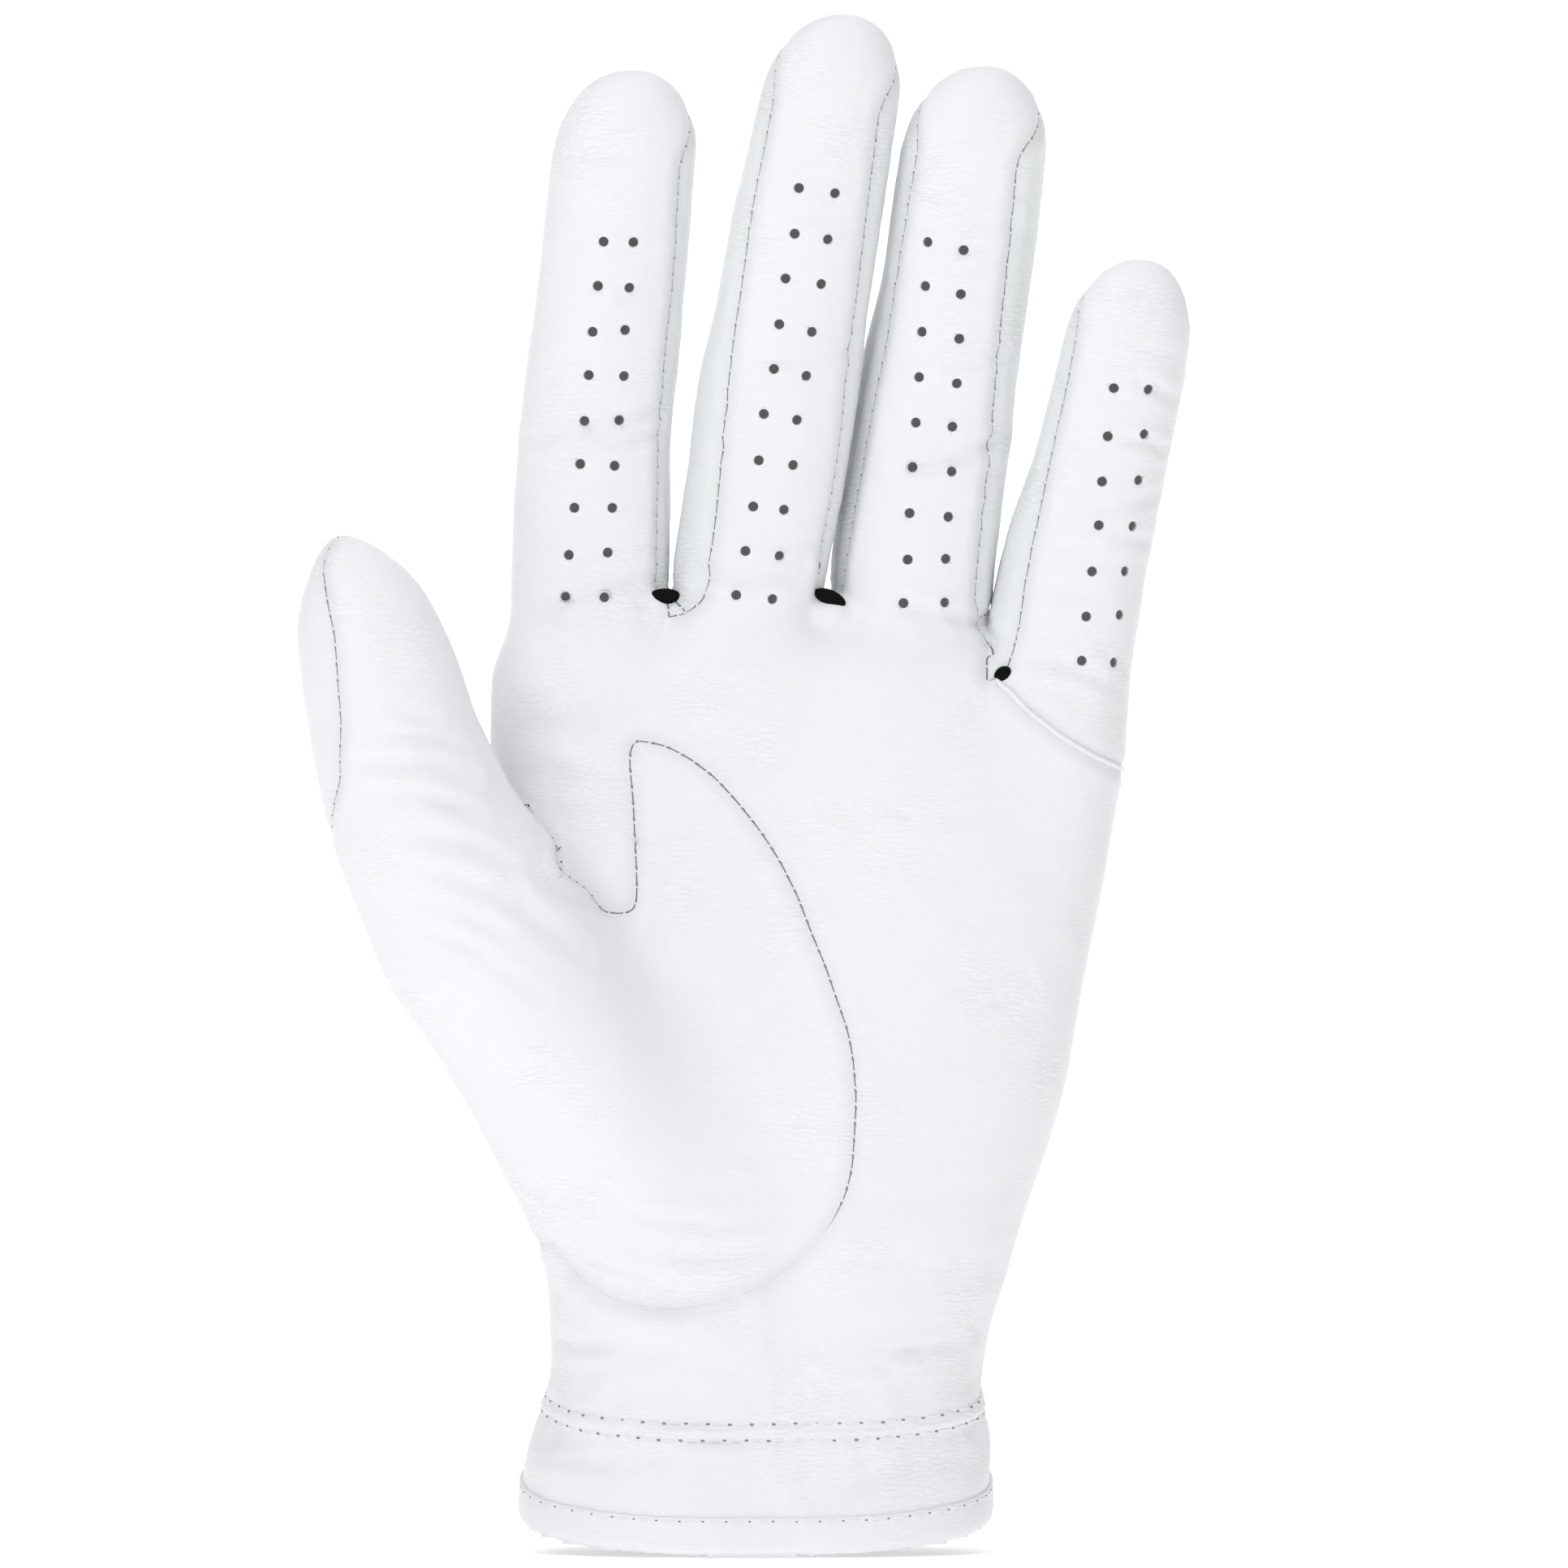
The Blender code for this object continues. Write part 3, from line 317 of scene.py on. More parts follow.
def skin_mesh():
    """Points and four-sided faces of the surface where hand_field is zero."""
    corner = np.array([-72.0, -46.0, -14.0])
    count = np.ceil((np.array([68.0, 34.0, 220.0]) - corner) / (CELL * BLOCK)).astype(int) * BLOCK
    axes = [corner[i] + CELL * np.arange(count[i] + 1) for i in range(3)]
    coarse = np.meshgrid(*[a[::BLOCK] for a in axes], indexing="ij")
    rough_field = hand_field(*[c.astype(float) for c in coarse])
    near = np.abs(rough_field) < CELL * BLOCK * 2.4
    # A coarse point stands for the fine ones within half a block of it
    take = [np.clip(np.round(np.arange(n + 1) / BLOCK).astype(int), 0, n // BLOCK) for n in count]
    mask = near[np.ix_(*take)]
    field = np.where(rough_field[np.ix_(*take)] > 0, 9.0, -9.0)
    i, j, k = np.nonzero(mask)
    field[i, j, k] = hand_field(axes[0][i], axes[1][j], axes[2][k])
    inside = field < 0
    total = np.zeros(np.array(field.shape) - 1, np.int8)
    for a in (0, 1):
        for b in (0, 1):
            for c in (0, 1):
                total += inside[a:a + total.shape[0], b:b + total.shape[1], c:c + total.shape[2]]
    cells = np.argwhere((total > 0) & (total < 8))
    number = np.full(total.shape, -1, np.int64)
    number[tuple(cells.T)] = np.arange(len(cells))
    place = np.zeros((len(cells), 3))
    hits = np.zeros(len(cells))
    for axis in range(3):
        others = [o for o in range(3) if o != axis]
        for a in (0, 1):
            for b in (0, 1):
                first = cells.copy()
                first[:, others[0]] += a
                first[:, others[1]] += b
                second = first.copy()
                second[:, axis] += 1
                va, vb = field[tuple(first.T)], field[tuple(second.T)]
                cross = (va < 0) != (vb < 0)
                share = np.where(cross, va / np.where(cross, va - vb, 1), 0)
                point = first.astype(float)
                point[:, axis] += share
                place += point * cross[:, None]
                hits += cross
    place = corner + CELL * place / hits[:, None]
    quads = []
    for axis in range(3):
        u, v = (axis + 1) % 3, (axis + 2) % 3
        head = [slice(None)] * 3
        tail = [slice(None)] * 3
        head[axis], tail[axis] = slice(0, -1), slice(1, None)
        edges = np.argwhere(inside[tuple(head)] != inside[tuple(tail)])
        edges = edges[(edges[:, u] > 0) & (edges[:, v] > 0)]
        edges = edges[(edges[:, u] < count[u]) & (edges[:, v] < count[v])]
        ring = []
        for du, dv in ((0, 0), (-1, 0), (-1, -1), (0, -1)):
            cell = edges.copy()
            cell[:, u] += du
            cell[:, v] += dv
            ring.append(number[tuple(cell.T)])
        ring = np.stack(ring, axis=1)
        flip = ~inside[tuple(edges.T)]
        ring[flip] = ring[flip][:, ::-1]
        quads.append(ring)
    quads = np.concatenate(quads)
    return place, quads[(quads >= 0).all(axis=1)]


def slope(field, p, step=0.05):
    """Direction in which a field grows, per millimetre."""
    parts = []
    for axis in range(3):
        shift = np.zeros(3)
        shift[axis] = step
        parts.append((field(*(p + shift).T) - field(*(p - shift).T)) / (2 * step))
    return np.stack(parts, axis=1)


skin, quads = skin_mesh()
for _ in range(3):
    grow = slope(hand_field, skin)
    away = hand_field(*skin.T) / np.maximum((grow**2).sum(axis=1), 0.05)
    skin -= grow * np.clip(away, -0.6, 0.6)[:, None]
flat_normal = slope(hand_field, skin)
flat_normal /= np.linalg.norm(flat_normal, axis=1)[:, None]
flat_tree = BVHTree.FromPolygons(skin.tolist(), quads.tolist())


# --- The cut of the panels ---------------------------------------------------------------------
# One piece of leather makes the palm and the fronts of three fingers; another the back of the hand
# and of the fingers, with a slit at the wrist. The ball of the thumb, the little finger's front and
# the strips between the fingers are cut on their own.

THENAR_SEAM = [(-16.9, 109.3), (-12.6, 108.4), (-9.2, 106.6), (-5.6, 103.9), (-2.3, 100.3), (0.8, 96.4),
               (3.5, 92.2), (6.0, 87.2), (8.0, 81.9), (9.9, 77.4), (11.5, 72.7), (13.0, 68.5), (13.8, 64.6),
               (14.3, 58.8), (14.0, 53.1), (13.7, 48.9), (12.7, 45.0), (10.9, 41.4), (8.4, 38.2),
               (5.1, 35.0), (1.2, 32.4), (-2.9, 30.6), (-6.9, 29.6), (-10.4, 29.0), (-13.8, 29.0),
               (-17.4, 29.6), (-20.7, 30.7), (-23.8, 32.4), (-26.5, 34.7), (-28.8, 38.0)]
THUMB_SIDE_SEAM = [(-31.0, 93.0), (-28.2, 91.2), (-24.0, 88.5), (-20.6, 85.4), (-19.0, 85.0), (-17.6, 85.0),
                   (-16.7, 85.6), (-16.6, 88.5), (-16.9, 94.5), (-17.2, 100.6), (-17.7, 106.6),
                   (-17.6, 108.2), (-16.9, 109.3)]
THUMB_FIELD = np.array(THENAR_SEAM + [(-60, 38), (-60, 93)] + THUMB_SIDE_SEAM[:-1])
THUMB_BACK_EDGE, THUMB_BACK_LOW, THUMB_BACK_HIGH = -29.0, 38.0, 94.5
WELT = [(35.4, 116.9), (37.2, 114.6), (39.0, 112.9), (43.6, 109.4), (48.0, 106.9), (56.0, 103.4)]
BACK_LEFT = [(-14, -27.0), (30, -27.0), (60, -29.0), (128, -29.0)]
BACK_RIGHT = [(-14, 26.0), (25, 27.0), (50, 33.0), (80, 40.4), (100, 43.6), (117, 48.2), (140, 49.5)]
SLIT_X, SLIT_FOOT, SLIT_HEAD, SLIT_TOP = 4.0, 5.0, 3.2, 56.0


def rise(share):
    """Smooth step from 0 to 1."""
    share = np.clip(share, 0, 1)
    return share * share * (3 - 2 * share)


def along_finger(spec, x, y, z):
    return (np.stack([x, y, z], axis=1) - spec["root"]) @ spec["axis"]


def seam_angles(spec, side, along):
    """Degrees round from the front to where the front leather ends, and to where the back begins."""
    length = np.linalg.norm(np.subtract(spec["tip"], spec["root"]))
    close = rise((along - length + 12) / 11)
    if spec["sides"][side] is None:
        edge = 150 - 62 * rise((along - 24) / (length - 26))
        return edge, edge
    at_root, at_tip, width = spec["sides"][side]
    front = at_root + (at_tip - at_root) * np.clip(along / length, 0, 1)
    return front + (90 - front) * close, front + width + (90 - front - width) * close


def inside_outline(x, z, outline):
    """Distance inside a closed outline, negative outside it."""
    best = np.full(len(x), 1e3)
    inside = np.zeros(len(x), bool)
    for (ax, az), (bx, bz) in zip(outline, np.roll(outline, -1, axis=0)):
        dx, dz = bx - ax, bz - az
        share = np.clip(((x - ax) * dx + (z - az) * dz) / (dx * dx + dz * dz), 0, 1)
        best = np.minimum(best, np.hypot(x - ax - share * dx, z - az - share * dz))
        level = (az > z) != (bz > z)
        inside ^= level & (x < ax + (z - az) * dx / np.where(dz == 0, 1e-9, dz))
    return np.where(inside, best, -best)


STRIP_CLEAR = 0.2
# Where a point is in no reach of a piece
OUTSIDE = -5.0
# The thumb's tube: left of this, above this, and where its leather begins
TUBE_LEFT, TUBE_LOW, TUBE_START = -28, 86, 90.0
# Degrees round from the thumb's front to its two back seams, the outer one by height
THUMB_OUTER_SEAM = [(70, -100), (93, -98), (97, -76), (103, -50), (112, -36), (124.4, -28), (130, -34),
                    (138, -60)]
THUMB_INNER_SEAM = 92


def panel_scores(p):
    """How far each point lies inside each panel, by name; the largest wins."""
    x, y, z = p.T
    fields = {name: finger_field(spec, x, y, z) for name, spec in FINGERS.items()}
    back_body = np.minimum(np.minimum(x - np.interp(z, *zip(*BACK_LEFT)),
                                      np.interp(z, *zip(*BACK_RIGHT)) - x), y + 2)
    front, back = -back_body, back_body
    strips = {}
    for name, spec in FINGERS.items():
        others = np.min([f for n, f in fields.items() if n != name], axis=0)
        own = (others - fields[name]) / 2
        along = along_finger(spec, x, y, z)
        angle, reach = finger_angle(spec, x, y, z)
        blend = rise((along + 9) / 9) * (own > 0)
        for side, sign in (("radial", -1), ("ulnar", 1)):
            start, end = seam_angles(spec, side, along)
            to_front = np.radians(start - np.abs(angle)) * reach
            to_back = np.radians(np.abs(angle) - end) * reach
            here = sign * angle >= 0
            front = np.where(here, front + (to_front - front) * blend, front)
            back = np.where(here, back + (to_back - back) * blend, back)
            if spec["sides"][side] is not None:
                strip = np.minimum(-np.maximum(to_front, to_back), np.minimum(along - 0.4, own))
                offsets = [(sign * (cx - spec["root"][0]), cz) for cx, cz in CROTCHES.values()]
                foot = max(cz for offset, cz in offsets if 0 < offset < 15)
                strip = np.minimum(strip, z - foot - STRIP_CLEAR)
                strips[f"{name}_{side}_strip"] = np.where(here, strip, OUTSIDE)
    on_front = inside_outline(x, z, THUMB_FIELD)
    on_back = np.minimum(THUMB_BACK_EDGE - x, np.minimum(z - THUMB_BACK_LOW, THUMB_BACK_HIGH - z))
    thumb = on_front + (on_back - on_front) * rise((y + 4) / 8)
    near = (x < TUBE_LEFT) & (z > TUBE_LOW)
    tube = np.full(len(p), OUTSIDE)
    off_palm = palm_field(*p[near].T) - 2.0
    tube[near] = np.minimum(off_palm, np.minimum(z[near] - TUBE_START, 3.0 - thumb_field(*p[near].T)))
    thumb = np.maximum(thumb, tube)
    middle_x = np.interp(z, thumb_points[:, 2], thumb_points[:, 0])
    middle_y = np.interp(z, thumb_points[:, 2], thumb_points[:, 1])
    turn = np.degrees(np.arctan2(x - middle_x, middle_y - y))
    reach = np.hypot(x - middle_x, middle_y - y)
    start = eased(THUMB_OUTER_SEAM, 3.0)(z)
    thumb_back = np.where(turn < 0, np.radians(start - turn), np.radians(turn - THUMB_INNER_SEAM)) * reach
    thumb_back = np.minimum(thumb_back, np.minimum(z - 90 + 0.4 * (x + 45), -31 - x))
    own_little = (np.min([f for n, f in fields.items() if n != "little"], axis=0) - fields["little"]) / 2
    little = np.minimum((z - np.interp(x, *zip(*WELT))) * 0.85, own_little)
    reach = np.interp(z, (0, SLIT_TOP - SLIT_HEAD), (SLIT_FOOT, SLIT_HEAD)) - np.abs(x - SLIT_X)
    slit = np.where(z < SLIT_TOP - SLIT_HEAD, reach,
                    SLIT_HEAD - np.hypot(x - SLIT_X, z - SLIT_TOP + SLIT_HEAD))
    slit = np.where(y > 0, slit, -20.0)
    scores = {
        "palm": np.minimum(np.minimum(front, -thumb), -little),
        "back": np.minimum(np.minimum(back, -thumb), -slit),
        "slit": slit,
        "thumb_front": np.minimum(thumb, -thumb_back),
        "thumb_back": np.minimum(thumb, thumb_back),
        "little_front": np.minimum(front, little),
    }
    scores.update(strips)
    return scores


def finger_angle(spec, x, y, z):
    """Degrees round a finger from its front, and distance from its middle."""
    across, through = x - spec["middle"](z), y - spec["depth"](z)
    turned = np.arctan2(across / spec["half"](z), -through / spec["thick"](z))
    return np.degrees(turned), np.hypot(across, through)


def stacked(p):
    found = panel_scores(p)
    return np.stack(list(found.values()), axis=1)


PANELS = list(panel_scores(skin[:2]))
HEM_SLOPE = 0.22
above_hem = skin[quads].mean(axis=1)
quads = quads[above_hem[:, 2] - HEM_SLOPE * above_hem[:, 1] > -0.2]
used = np.unique(quads)
renumber = np.full(len(skin), -1)
renumber[used] = np.arange(len(used))
quads, skin, flat_normal = renumber[quads], skin[used], flat_normal[used]
label = stacked(skin[quads].mean(axis=1)).argmax(axis=1)

# Scraps that the other panels cut off join the panel beside them
SCRAP_AREA = 40.0
edge_from = quads.ravel()
edge_to = np.roll(quads, -1, axis=1).ravel()
key, back_key = edge_from * len(skin) + edge_to, edge_to * len(skin) + edge_from
order = key.argsort()
slot = np.minimum(np.searchsorted(key[order], back_key), len(key) - 1)
edge_face = np.repeat(np.arange(len(quads)), 4)
face_beside = np.where(key[order][slot] == back_key, order[slot] // 4, -1)
mine, beside = edge_face[face_beside >= 0], face_beside[face_beside >= 0]
for _ in range(3):
    alike = label[mine] == label[beside]
    cluster = np.arange(len(quads))
    while True:
        before = cluster.copy()
        np.minimum.at(cluster, mine[alike], cluster[beside[alike]])
        cluster = cluster[cluster]
        if (cluster == before).all():
            break
    scrap = np.bincount(cluster, minlength=len(quads))[cluster] < SCRAP_AREA / CELL**2
    for _ in range(12):
        take = scrap[mine] & ~scrap[beside]
        label[mine[take]] = label[beside[take]]
        scrap[mine[take]] = False

# Each point between two panels is moved on to their seam, along the skin
meets = np.zeros((len(skin), len(PANELS)), bool)
for corner in range(4):
    meets[quads[:, corner], label] = True
between = np.nonzero(meets.sum(axis=1) == 2)[0]
pair = np.argsort(~meets[between], axis=1, kind="stable")[:, :2]
row = np.arange(len(between))
for _ in range(3):
    p = skin[between]
    here = stacked(p)
    gap = here[row, pair[:, 0]] - here[row, pair[:, 1]]
    grow = np.zeros((len(p), 3))
    for axis in range(3):
        shift = np.zeros(3)
        shift[axis] = 0.05
        there = stacked(p + shift)
        grow[:, axis] = (there[row, pair[:, 0]] - there[row, pair[:, 1]] - gap) / 0.05
    normal = flat_normal[between]
    grow -= (grow * normal).sum(axis=1)[:, None] * normal
    step = grow * (gap / np.maximum((grow**2).sum(axis=1), 0.3))[:, None]
    size = np.linalg.norm(step, axis=1)
    skin[between] -= step * np.minimum(1, 0.5 / np.maximum(size, 1e-9))[:, None]
    fit = slope(hand_field, skin[between])
    skin[between] -= fit * (hand_field(*skin[between].T) / np.maximum((fit**2).sum(axis=1), 0.1))[:, None]

# The seam lines run smoothly
cut = (face_beside >= 0) & (label[edge_face] != label[face_beside])
ALL_SMOOTHING, WEB_SMOOTHING = 5, 45
for smoothing in range(WEB_SMOOTHING):
    line_sum = np.zeros((len(skin), 3))
    line_count = np.zeros(len(skin))
    np.add.at(line_sum, edge_from[cut], skin[edge_to[cut]])
    np.add.at(line_count, edge_from[cut], 1)
    smooth_here = between[line_count[between] == 2]
    if smoothing >= ALL_SMOOTHING:
        # Only the seam in the web of the thumb needs more
        x, y, z = skin[smooth_here].T
        smooth_here = smooth_here[(x < -26) & (x > -40) & (z > 84) & (z < 112) & (y < 12)]
    target = line_sum[smooth_here] / 2
    skin[smooth_here] += 0.5 * (target - skin[smooth_here])
    fit = slope(hand_field, skin[smooth_here])
    off = hand_field(*skin[smooth_here].T) / np.maximum((fit**2).sum(axis=1), 0.1)
    skin[smooth_here] -= fit * np.clip(off, -0.5, 0.5)[:, None]

# The points beside the seams are spread evenly again, and kept on the skin
neighbours = np.zeros((len(skin), 3))
count = np.zeros(len(skin))
np.add.at(neighbours, edge_from, skin[edge_to])
np.add.at(count, edge_from, 1)
near_seam = np.zeros(len(skin), bool)
near_seam[edge_to[np.isin(edge_from, between)]] = True
near_seam[edge_from[np.isin(edge_to, between)]] = True
near_seam &= (meets.sum(axis=1) == 1) & (count >= 3)
skin[near_seam] += 0.5 * (neighbours[near_seam] / count[near_seam][:, None] - skin[near_seam])
fit = slope(hand_field, skin[near_seam])
skin[near_seam] -= fit * (hand_field(*skin[near_seam].T) / np.maximum((fit**2).sum(axis=1), 0.1))[:, None]
flat_normal = slope(hand_field, skin)
flat_normal /= np.linalg.norm(flat_normal, axis=1)[:, None]

# Seam lines as chains of points, by the two panels that meet there
owner = dict(zip(zip(edge_from.tolist(), edge_to.tolist()), np.repeat(label, 4).tolist()))
seams = {}
for (a, b), mine in owner.items():
    other = owner.get((b, a))
    if other is not None and mine < other:
        seams.setdefault((PANELS[mine], PANELS[other]), {}).setdefault(a, []).append(b)


def chains(links):
    """Longest runs through directed links."""
    links = {a: list(b) for a, b in links.items()}
    heads = {b for ends in links.values() for b in ends}
    starts = [a for a in links if a not in heads] + list(links)
    found = []
    for start in starts:
        run = [start]
        while links.get(run[-1]):
            run.append(links[run[-1]].pop())
        if len(run) > 3:
            found.append(run)
    return found


seams = {pair: chains(links) for pair, links in seams.items()}


# --- Wear: puffs, creases and puckers ------------------------------------------------------------
# The leather is thin and has been worn: it puffs between the seams, creases where the hand closes,
# gathers at the wrist elastic and draws in along each row of stitches.

def on_skin(x, z, back=False):
    """The point of the skin over (x, z), seen from the palm or from the back."""
    side = 1 if back else -1
    hit, normal, _, _ = flat_tree.ray_cast(Vector((x, 90 * side, z)), Vector((0, -side, 0)))
    return np.array(hit), np.array(normal)


def line_distance(p, line):
    """Distance from each point to a chain of points."""
    best = np.full(len(p), 1e3)
    for a, b in zip(line, line[1:]):
        step = b - a
        share = np.clip((p - a) @ step / max(step @ step, 1e-9), 0, 1)
        best = np.minimum(best, np.linalg.norm(p - a - share[:, None] * step, axis=1))
    return best


def bowed(start, end, sag, count=7):
    """Points from start to end, sagging to one side in the middle."""
    start, end = np.array(start, float), np.array(end, float)
    across = np.array([end[1] - start[1], start[0] - end[0]])
    across /= np.linalg.norm(across)
    return [start + (end - start) * t + across * sag * 4 * t * (1 - t) for t in np.linspace(0, 1, count)]


# Creases: start and end as (x, z), sag, depth, half width, and whether it lies on the back
CREASES = [
    ((-31.5, 126.0), (-14.0, 131.4), -0.8, 0.55, 1.0, False),
    ((-30.0, 123.6), (-19.0, 127.0), -0.5, 0.25, 0.9, False),
    ((-8.2, 132.6), (7.2, 132.4), 0.8, 0.55, 1.0, False),
    ((-5.0, 134.2), (6.4, 133.4), 0.6, 0.30, 0.9, False),
    ((19.5, 128.8), (33.0, 125.4), 0.5, 0.45, 1.0, False),
    ((23.0, 125.6), (33.6, 123.4), 0.4, 0.22, 0.9, False),
    ((19.8, 147.6), (35.2, 151.2), 0.7, 0.55, 0.95, False),
    ((22.0, 149.4), (35.4, 152.4), 0.6, 0.35, 0.85, False),
    ((25.0, 162.0), (36.5, 164.0), 0.4, 0.22, 0.85, False),
    ((-26.0, 152.4), (-12.8, 156.0), 0.7, 0.40, 0.9, False),
    ((-23.0, 150.4), (-13.4, 153.2), 0.5, 0.28, 0.8, False),
    ((-33.0, 152.0), (-26.0, 151.6), 0.2, 0.20, 0.8, False),
    ((-27.6, 191.2), (-21.8, 192.0), 0.4, 0.26, 0.8, False),
    ((-27.8, 189.4), (-22.8, 189.4), 0.4, 0.20, 0.8, False),
    ((2.0, 162.0), (14.6, 164.6), 0.5, 0.22, 0.9, False),
    ((-6.0, 150.0), (5.0, 152.0), 0.4, 0.18, 0.9, False),
    ((46.0, 141.0), (57.0, 144.0), 0.4, 0.25, 0.9, False),
    ((52.0, 151.6), (59.0, 150.0), -0.3, 0.30, 0.8, False),
    ((38.0, 121.6), (48.0, 118.4), 0.4, 0.25, 0.9, False),
    ((-35.0, 112.0), (-18.0, 110.6), 1.2, 0.70, 2.6, False),
    ((-34.0, 105.6), (-22.0, 104.0), 0.8, 0.35, 1.6, False),
    ((-30.0, 90.6), (-17.6, 84.6), 1.2, 0.75, 1.5, False),
    ((-34.0, 88.0), (-24.0, 80.0), 1.0, 0.45, 1.5, False),
    ((-55.5, 106.0), (-39.5, 104.0), -0.8, 0.40, 1.1, False),
    ((-54.0, 109.2), (-41.0, 108.4), -0.6, 0.28, 0.9, False),
    ((-53.0, 102.0), (-38.5, 99.0), -0.6, 0.30, 1.0, False),
    ((-50.0, 96.4), (-36.0, 92.8), -0.6, 0.32, 1.1, False),
    ((-47.0, 90.6), (-33.0, 86.0), -0.7, 0.28, 1.1, False),
    ((-28.0, 37.0), (-4.0, 28.6), 1.6, 0.90, 1.9, False),
    ((-4.0, 28.6), (10.0, 37.0), 0.8, 0.45, 1.6, False),
    ((-24.0, 41.0), (6.0, 38.6), 3.2, 0.24, 0.9, False),
    ((-20.0, 44.0), (8.0, 43.4), 2.8, 0.20, 0.85, False),
    ((-28.0, 47.0), (-2.0, 46.4), 1.6, 0.16, 0.85, False),
    ((16.0, 44.0), (36.0, 47.0), 0.8, 0.24, 1.6, False),
    ((14.0, 34.0), (35.0, 35.4), 0.6, 0.28, 1.8, False),
    ((-26.5, 25.0), (-2.0, 24.4), 0.8, 0.26, 1.5, False),
    ((4.0, 24.0), (31.0, 25.4), 0.6, 0.26, 1.6, False),
    ((-30.0, 12.6), (-14.0, 5.8), 0.8, 0.85, 2.2, False),
    ((-22.0, 13.0), (-9.0, 7.4), 0.4, 0.40, 1.8, False),
    ((10.0, 4.4), (31.0, 9.6), 0.8, 0.80, 2.4, False),
    ((20.0, 10.4), (32.0, 12.0), 0.4, 0.35, 1.6, False),
    ((-8.0, 96.0), (26.0, 108.0), 2.4, 0.22, 2.4, False),
    ((18.0, 62.0), (42.0, 76.0), 1.6, 0.20, 2.6, False),
    ((-27.0, 122.0), (44.0, 112.0), -2.0, 0.55, 4.2, True),
    ((-26.0, 92.0), (40.0, 88.0), -2.0, 0.30, 3.4, True),
    ((-24.0, 66.0), (34.0, 62.0), -1.5, 0.24, 2.8, True),
    ((-31.0, 152.0), (-14.0, 152.0), 0.5, 0.35, 1.3, True),
    ((-8.0, 154.0), (12.0, 155.0), 0.5, 0.35, 1.3, True),
    ((16.0, 152.0), (35.0, 152.0), 0.5, 0.35, 1.3, True),
    ((40.0, 136.0), (57.0, 137.0), 0.5, 0.32, 1.3, True),
]
WRIST_LOW, WRIST_HIGH, WRIST_SLOPE = 15.0, 17.2, 0.22
rng = np.random.default_rng(11)
for middle_x, middle_z, wide, tall, many, tilt in (
    (-23, 152, 15, 9, 9, 0.20), (-20, 176, 14, 7, 5, 0.1), (3, 154, 15, 10, 8, 0.15),
    (8, 182, 14, 7, 5, 0.1), (26, 150, 15, 9, 8, 0.2), (30, 176, 14, 7, 5, 0.0), (49, 138, 13, 8, 7, -0.1),
    (53, 160, 12, 6, 4, -0.2), (-24, 129, 15, 4, 4, 0.2), (0, 131, 14, 4, 4, 0.0),
    (27, 126, 13, 4, 4, -0.2), (44, 117, 11, 5, 4, -0.3), (-47, 104, 13, 12, 9, -0.15),
    (-38, 84, 14, 9, 7, -0.5), (-12, 42, 30, 9, 12, 0.0), (-27, 107, 12, 6, 5, -0.1),
    (22, 30, 24, 9, 8, 0.05), (-14, 22, 24, 4, 8, 0.0), (18, 21, 24, 4, 8, 0.05), (0, 10, 50, 4, 10, 0.1),
    (34, 84, 16, 18, 6, 0.3)):
    for _ in range(many):
        x, z = middle_x + wide * rng.uniform(-0.42, 0.42), middle_z + tall * rng.uniform(-1, 1)
        half = wide * rng.uniform(0.12, 0.34)
        lean = (tilt + rng.normal(0, 0.08)) * half
        CREASES.append(((x - half, z - lean), (x + half, z + lean), rng.normal(0, 0.4),
                        rng.uniform(0.07, 0.2),
                        rng.uniform(0.75, 1.0), False))

raised = np.zeros(len(skin))
# Fine creases are cut deeper than listed
CREASE_DEPTH, FINE_CREASE = 1.45, 1.3
for start, end, sag, depth, wide, back in CREASES:
    depth *= CREASE_DEPTH if wide < FINE_CREASE else 1.0
    line = []
    for x, z in bowed(start, end, sag):
        side = 1 if back else -1
        if flat_tree.ray_cast(Vector((x, 90 * side, z)), Vector((0, -side, 0)))[0] is not None:
            line.append(on_skin(x, z, back)[0])
    if len(line) < 3:
        continue
    line = np.array(line)
    around = (skin > line.min(axis=0) - 4 * wide) & (skin < line.max(axis=0) + 4 * wide)
    near = np.nonzero(around.all(axis=1))[0]
    away = line_distance(skin[near], line)
    ends = np.minimum(np.linalg.norm(skin[near] - line[0], axis=1),
                      np.linalg.norm(skin[near] - line[-1], axis=1))
    fade = rise(ends / (0.3 * np.linalg.norm(line[-1] - line[0])) + 0.15)
    lip = 0.45 * np.exp(-(((away - 2.1 * wide) / wide) ** 2))
    raised[near] -= fade * depth * (np.exp(-((away / wide) ** 2)) - lip)

# Side strips puff out between the fingers
x, y, z = skin.T
for name, sign, centre_angle, low_z, high_z, size in (
    ("ring", -1, 110, 124, 178, 1.3), ("middle", 1, 84, 124, 174, 0.15), ("little", -1, 92, 112, 152, 1.1),
    ("middle", -1, 84, 126, 172, 0.6)):
    spec = FINGERS[name]
    near = np.nonzero((z > low_z) & (z < high_z) & (np.abs(finger_field(spec, x, y, z)) < 0.6))[0]
    angle, _ = finger_angle(spec, *skin[near].T)
    swell = np.exp(-(((np.abs(angle) - centre_angle) / 34) ** 2)) * (sign * angle > 0)
    raised[near] += size * swell * rise((z[near] - low_z) / 12) * rise((high_z - z[near]) / 14)

